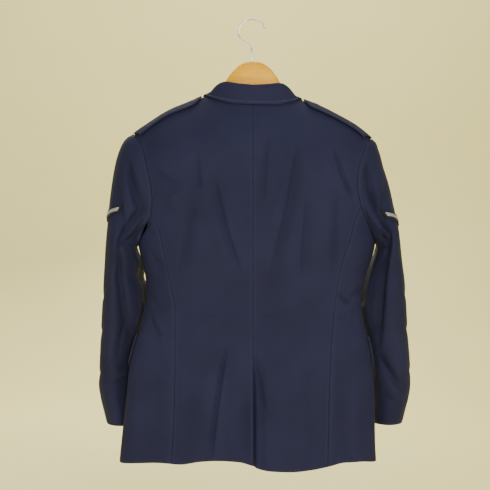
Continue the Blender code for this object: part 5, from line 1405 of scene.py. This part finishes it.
def make_loops():
    """Shoulder loops, each a doubled strip."""
    across, along = np.linspace(-1.0, 1.0, LOOP_COLUMNS), np.array(LOOP_ROWS)
    more = dict(PANEL, thick=LOOP_CLOTH, lift=LOOP_LIFT + LOOP_CLOTH, dip=0.0)
    for side, name in SIDES.items():
        wall_shell(f"shoulder_loop_{name}", loop_surface(side), across, along, -side, LOOP_SPAN, **more)


def make_flaps():
    """Flaps that lie on the fronts and side panels."""
    across, down = np.array(FLAP_COLUMNS), np.linspace(0.0, 1.0, FLAP_ROWS)
    more = dict(PANEL, lift=LAP + FLAP_EASE, dip=0.0)
    for side, name in SIDES.items():
        span = (FLAP_LENGTH, FLAP_HEIGHT)
        wall_shell(f"pocket_flap_{name}", flap_surface(side), across, down, side, span, **more)


STRIPE_SHARE = 0.38
STRIPE_TRIM = 0.10
STRIPE_CLOTH = 0.0009
STRIPE_LIFT = 0.0003
PATCH_TURN_SPAN = 0.06
PATCH_TURN_SPACING = 0.0015
PATCH_ROW_SPACING = 0.0012
PATCH_COLUMNS = 13
PATCH_WAY_STEPS = 1200


def make_patches():
    """Bent bands on the upper sleeves, each with one plain stitched stripe along its middle."""
    for side, name in SIDES.items():
        surface = sleeve_surface(side)
        ways = np.linspace(*PATCH_WAYS, PATCH_WAY_STEPS)
        node = f"rank_patch_{name}"
        for label, share, trim in (("felt", 1.0, 0.0), ("stripe", STRIPE_SHARE, STRIPE_TRIM)):
            turns = np.linspace(-1.0, 1.0, PATCH_COLUMNS)
            turns = refine(turns, PATCH_REACH * PATCH_TURN_SPAN, PATCH_TURN_SPACING) * (1.0 - trim)
            rows = refine(np.linspace(-1.0, 1.0, 3), PATCH_HALF_HEIGHT * share, PATCH_ROW_SPACING)
            turn = np.repeat(turns[:, None], len(rows), axis=1) * PATCH_REACH
            rise = PATCH_RISE * np.abs(turns)
            drop = PATCH_DROP[side] - rise[:, None] + PATCH_HALF_HEIGHT * share * rows[None, :]
            way = np.zeros(turn.shape)
            for i in range(len(turns)):
                line = -surface(np.full(ways.shape, turn[i, 0]), ways)[:, 2]
                way[i] = np.interp(drop[i], line, ways)
            normal = normals(surface, turn, way, -side)
            raised = PATCH_LIFT + PATCH_CLOTH
            if label == "stripe":
                more = dict(material=STRIPE, thick=STRIPE_CLOTH, lift=raised + STRIPE_LIFT + STRIPE_CLOTH)
            else:
                more = dict(material=PATCH_GROUND, thick=PATCH_CLOTH, lift=raised, node=node)
            more.update(flip=side > 0, slot="patch_cloth", dip=0.0)
            make_shell(f"cloth_{node}_{label}", surface(turn, way), normal, **more)


# Buttons and hanger
BUTTON_TURN = table(
    "out up",
    (0, 0), (0.8, 0), (0.94, 0.04), (1, 0.12), (1, 0.2), (0.96, 0.26), (0.9, 0.27), (0.865, 0.245),
    (0.835, 0.262), (0.7, 0.37), (0.52, 0.44), (0.3, 0.485), (0.12, 0.498), (0, 0.5),
)


def make_button(name, node, seat, axis, radius, segments=48):
    """Domed metal button with a rolled rim, turned round its axis."""
    outs, ups = BUTTON_TURN["out"][1:-1] * radius, BUTTON_TURN["up"] * radius
    turn = np.array(Vector((0, 0, 1)).rotation_difference(Vector(axis)).to_matrix())
    angles = math.tau * np.arange(segments) / segments
    heights = np.repeat(ups[1:-1, None], segments, 1)
    rings = np.stack((np.outer(outs, np.cos(angles)), np.outer(outs, np.sin(angles)), heights), -1)
    vertices = np.concatenate(([(0, 0, ups[0])], rings.reshape(-1, 3), [(0, 0, ups[-1])]))
    count = len(outs)
    faces = []
    for step in range(segments):
        after = (step + 1) % segments
        faces.append((0, 1 + after, 1 + step))
        for ring in range(count - 1):
            low, high = 1 + ring * segments, 1 + (ring + 1) * segments
            faces.append((low + step, low + after, high + after, high + step))
        last = 1 + (count - 1) * segments
        faces.append((last + step, last + after, len(vertices) - 1))
    make_piece(name, vertices @ turn.T + np.array(seat), faces, BUTTON, "button_metal", node)


def make_buttons():
    """Front buttons at centre front and one button on each shoulder loop."""
    def skin(angle, drop):
        return body(LEFT, angle, drop)

    angle = np.full(len(FRONT_BUTTON_DROPS), -math.pi / 2)
    seats = skin(angle, np.array(FRONT_BUTTON_DROPS))
    axes = normals(skin, angle, np.array(FRONT_BUTTON_DROPS), 1)
    for number, (seat, axis) in enumerate(zip(seats, axes), start=1):
        axis = axis * -np.sign(axis[1])
        node = f"front_button_{number}"
        make_button(f"metal_{node}", node, seat + axis * BUTTON_LIFT, axis, FRONT_BUTTON_RADIUS)
    for side, name in SIDES.items():
        spot, way = np.array([[LOOP_BUTTON_ACROSS]]), np.array([[LOOP_BUTTON_AT]])
        normal = normals(loop_surface(side), spot, way, -side)[0, 0]
        seat = loop_surface(side)(spot, way)[0, 0] + normal * (LOOP_LIFT + LOOP_CLOTH + BUTTON_LIFT)
        make_button(f"metal_loop_button_{name}", f"loop_button_{name}", seat, normal, LOOP_BUTTON_RADIUS)


def loft_piece(name, node, rings, material, slot):
    """Closed solid through rings of points, with flat ends."""
    sides, vertices = len(rings[0]), np.array(rings).reshape(-1, 3)
    faces = [tuple(range(sides))[::-1], tuple(range(len(vertices) - sides, len(vertices)))]
    for ring in range(len(rings) - 1):
        for step in range(sides):
            here, after = ring * sides + step, ring * sides + (step + 1) % sides
            faces.append((here, after, after + sides, here + sides))
    return make_piece(name, vertices, faces, material, slot, node)


WOOD_SIDES = 36
WOOD_STEP = 0.003
WIRE_SIDES = 20


def make_hanger():
    """Bowed wood with rounded edges and ends, and the hook's wire."""
    half = refine(np.array((*HANGER_STATIONS, HANGER_TIP)), 1.0, WOOD_STEP)
    angles = math.tau * (np.arange(WOOD_SIDES) + 0.5) / WOOD_SIDES
    rings = []
    for x in np.concatenate((-half[:0:-1], half)):
        top, bottom = hanger_top(x), float(column(HANGER_BOTTOM, "drop", abs(x)))
        nearness = max(0.0, (abs(x) - HANGER_BEND) / (HANGER_TIP - HANGER_BEND))
        shrink = math.sqrt(1.0 - HANGER_END_SHARE * nearness**2)
        tall = (bottom - top) / 2
        middle = -(top + bottom) / 2 + tall * (1.0 - shrink) * HANGER_END_SINK
        y = HANGER_HALF_THICK * powered(np.cos(angles), HANGER_SQUARE)
        z = middle + tall * shrink * powered(np.sin(angles), HANGER_OVAL)
        rings.append(points(x, y, z))
    loft_piece("wood_hanger", "hanger_wood", rings, WOOD, "hanger_wood")
    path = hook_path()
    rings = []
    around = math.tau * np.arange(WIRE_SIDES) / WIRE_SIDES
    for place, point in enumerate(path):
        before, after = path[max(place - 1, 0)], path[min(place + 1, len(path) - 1)]
        along = (after - before) / np.linalg.norm(after - before)
        shift = np.outer(np.cos(around), (along[1], -along[0])) * WIRE
        rings.append(points(point[0] + shift[:, 0], WIRE * np.sin(around), point[1] + shift[:, 1]))
    loft_piece("wire_hook", "hanger_hook", rings, CHROME, "hook_chrome")


# Stitching
STITCH = 0.0024
STITCH_PITCH = 0.0034
STITCH_RADIUS = 0.00028
STITCH_SIDES = 6
STITCH_IN = 0.0060
# Share of a stitch's length and its width there
STITCH_FORM = ((0.0, 0.45), (0.2, 1.0), (0.5, 1.15), (0.8, 1.0), (1.0, 0.45))
STITCH_SUNK = 0.9
CORNER_STEPS = 20
COLLAR_STEPS = 240
FLAP_TOP_GAP = 0.03
# Corners of the stitched lines, in the two parameters of what they lie on
LOOP_LINE = ((-0.80, 0.02), (-0.80, 0.86), (0.0, 0.96), (0.80, 0.86), (0.80, 0.02))
LAPEL_LINE = ((0.10, 0.022), (0.91, 0.022), (0.82, 0.80))
COLLAR_LINE = ((-0.975, 0.925), (0.975, 0.925))


def stitch_row(surface, outward, lift, path):
    """Stitches along a path of two parameters on a surface, each as its vertices and faces."""
    u, v = np.array(path, dtype=float).T
    place = surface(u, v)
    run = np.concatenate(([0.0], np.cumsum(np.linalg.norm(np.diff(place, axis=0), axis=1))))
    starts = np.arange(STITCH_PITCH / 2, run[-1] - STITCH, STITCH_PITCH)
    sections = []
    for share, wide in STITCH_FORM:
        at = starts + STITCH * share
        su, sv = np.interp(at, run, u), np.interp(at, run, v)
        spot = surface(su[:, None], sv[:, None])[:, 0]
        normal = normals(surface, su[:, None], sv[:, None], outward)[:, 0]
        height = relief(spot, normal) + (lift(su, sv) if callable(lift) else lift)
        raised = height + STITCH_RADIUS * (wide - STITCH_SUNK)
        sections.append((spot + normal * raised[:, None], normal, wide))
    along = unit(sections[-1][0] - sections[0][0])
    vertices, faces = [], []
    around = math.tau * np.arange(STITCH_SIDES) / STITCH_SIDES
    for number in range(len(starts)):
        start = len(vertices)
        for spot, normal, wide in sections:
            aside = np.cross(along[number], normal[number])
            for angle in around:
                shift = aside * math.cos(angle) + normal[number] * math.sin(angle)
                vertices.append(spot[number] + shift * STITCH_RADIUS * wide)
        for ring in range(len(sections) - 1):
            for step in range(STITCH_SIDES):
                low, after = start + ring * STITCH_SIDES, (step + 1) % STITCH_SIDES
                faces.append((low + step, low + after, low + after + STITCH_SIDES, low + step + STITCH_SIDES))
        faces.append(tuple(range(start + STITCH_SIDES - 1, start - 1, -1)))
        faces.append(tuple(range(len(vertices) - STITCH_SIDES, len(vertices))))
    return vertices, faces


def make_stitches(name, row):
    """Row of stitches as one piece."""
    return make_piece(name, *row, THREAD, "navy_cloth")


def broken_line(corners, steps=(60, 60, 60)):
    """Straight paths from corner to corner, each corner a pair of parameters."""
    paths = []
    for first, last, count in zip(corners, corners[1:], steps):
        share = np.linspace(0.0, 1.0, count)[:, None]
        paths.append(np.array(first) * (1.0 - share) + np.array(last) * share)
    return np.concatenate(paths)


def make_stitching():
    """Edge stitching of the collar, lapels, shoulder loops and flaps."""
    in_u, in_v = STITCH_IN / FLAP_LENGTH, STITCH_IN / FLAP_HEIGHT
    low = 1.0 - in_v
    flap_line = ((in_u, FLAP_TOP_GAP), (in_u, low), (1.0 - in_u, low), (1.0 - in_u, FLAP_TOP_GAP))
    loop_steps = (60, CORNER_STEPS, CORNER_STEPS, 60)
    for side, name in SIDES.items():
        row = stitch_row(flap_surface(side), side, LAP + FLAP_EASE, broken_line(flap_line))
        make_stitches(f"stitching_flap_{name}", row)
        path = broken_line(LOOP_LINE, loop_steps)
        row = stitch_row(loop_surface(side), -side, LOOP_LIFT + LOOP_CLOTH, path)
        make_stitches(f"stitching_loop_{name}", row)
        row = stitch_row(lapel_surface(side), -side, lapel_lift, broken_line(LAPEL_LINE))
        make_stitches(f"stitching_lapel_{name}", row)
    path = broken_line(COLLAR_LINE, (COLLAR_STEPS,))
    make_stitches("stitching_collar", stitch_row(collar_surface, 1, 0.0, path))


# Stage, light and camera
CAMERA_AT = (0.0158, 2.0, -0.4643)
CAMERA_LENS = 71.7
FLOOR_LEVEL = -1.16
FLOOR_HALF = 5.0
BACKDROP_AT = -3.4
BACKDROP_TALL = 3.4
SWEEP_RADIUS = 1.2
SWEEP_FROM = 0.4
SWEEP_TO = 0.8
# Lights: name, place, size, power and colour
LIGHTS = (
    ("key", (-0.9, 2.9, 0.1), 1.1, 84.0, (1.0, 0.985, 0.95)),
    ("fill", (1.2, 2.8, -1.0), 1.3, 62.0, (0.97, 0.98, 1.0)),
    ("top", (0.2, 0.5, 1.9), 1.2, 5.0, (1.0, 0.98, 0.95)),
    ("front", (0.6, -2.6, 0.9), 1.8, 50.0, (1.0, 0.99, 0.97)),
)
SWEEP_LIGHT = ("sweep", (0.0, -1.2, 2.4), 2.0, 90.0, (1.0, 0.97, 0.88))
SWEEP_LIGHT_TO = (0.0, -3.4, -0.4)
JACKET_MIDDLE = (0.0, 0.0, -0.46)
SENSOR_WIDE = 36.0
AIR = (0.46, 0.44, 0.37)
AIR_STRENGTH = 1.0


def make_floor():
    """Pale floor below the hem that sweeps up into a backdrop far in front of the jacket."""
    along = np.linspace(-FLOOR_HALF, FLOOR_HALF, 9)
    run = np.linspace(0.0, 1.0, 49)
    turn = np.clip((run - SWEEP_FROM) / (SWEEP_TO - SWEEP_FROM), 0.0, 1.0) * math.pi / 2
    flat = blend(FLOOR_HALF, BACKDROP_AT + SWEEP_RADIUS, np.clip(run / SWEEP_FROM, 0.0, 1.0))
    rise = np.clip((run - SWEEP_TO) / (1.0 - SWEEP_TO), 0.0, 1.0) * BACKDROP_TALL
    y = flat - SWEEP_RADIUS * np.sin(turn)
    z = FLOOR_LEVEL + SWEEP_RADIUS * (1.0 - np.cos(turn)) + rise
    x, y = np.meshgrid(along, y, indexing="ij")
    place = points(x, y, np.broadcast_to(z, x.shape))
    mesh = bpy.data.meshes.new("floor")
    mesh.from_pydata(place.reshape(-1, 3).tolist(), [], grid_faces(len(along), len(run), 0, True).tolist())
    mesh.materials.append(floor_material("pale_floor"))
    mesh.shade_smooth()
    floor = bpy.data.objects.new("floor", mesh)
    bpy.context.scene.collection.objects.link(floor)


def make_lights():
    """Soft studio lights and pale air."""
    lights = [(*light, JACKET_MIDDLE) for light in LIGHTS]
    for name, at, size, power, colour, to in (*lights, (*SWEEP_LIGHT, SWEEP_LIGHT_TO)):
        lamp = bpy.data.lights.new(name, "AREA")
        lamp.energy, lamp.size, lamp.color = power, size, colour
        holder = bpy.data.objects.new(name, lamp)
        holder.location = at
        holder.rotation_euler = (Vector(to) - Vector(at)).to_track_quat("-Z", "Y").to_euler()
        bpy.context.scene.collection.objects.link(holder)
    world = bpy.data.worlds.new("air")
    world.use_nodes = True
    background = world.node_tree.nodes["Background"]
    background.inputs["Color"].default_value = (*AIR, 1.0)
    background.inputs["Strength"].default_value = AIR_STRENGTH
    bpy.context.scene.world = world


def make_camera():
    """Camera behind the jacket, level, at the photograph's height."""
    lens = bpy.data.cameras.new("camera")
    lens.sensor_width = SENSOR_WIDE
    lens.lens = CAMERA_LENS
    camera = bpy.data.objects.new("camera", lens)
    camera.location = CAMERA_AT
    camera.rotation_euler = (math.pi / 2, 0.0, math.pi)
    bpy.context.scene.collection.objects.link(camera)
    bpy.context.scene.camera = camera


make_camera()
make_body()
make_lapels()
make_collar()
make_sleeves()
make_loops()
make_flaps()
make_patches()
make_buttons()
make_hanger()
make_stitching()
make_floor()
make_lights()
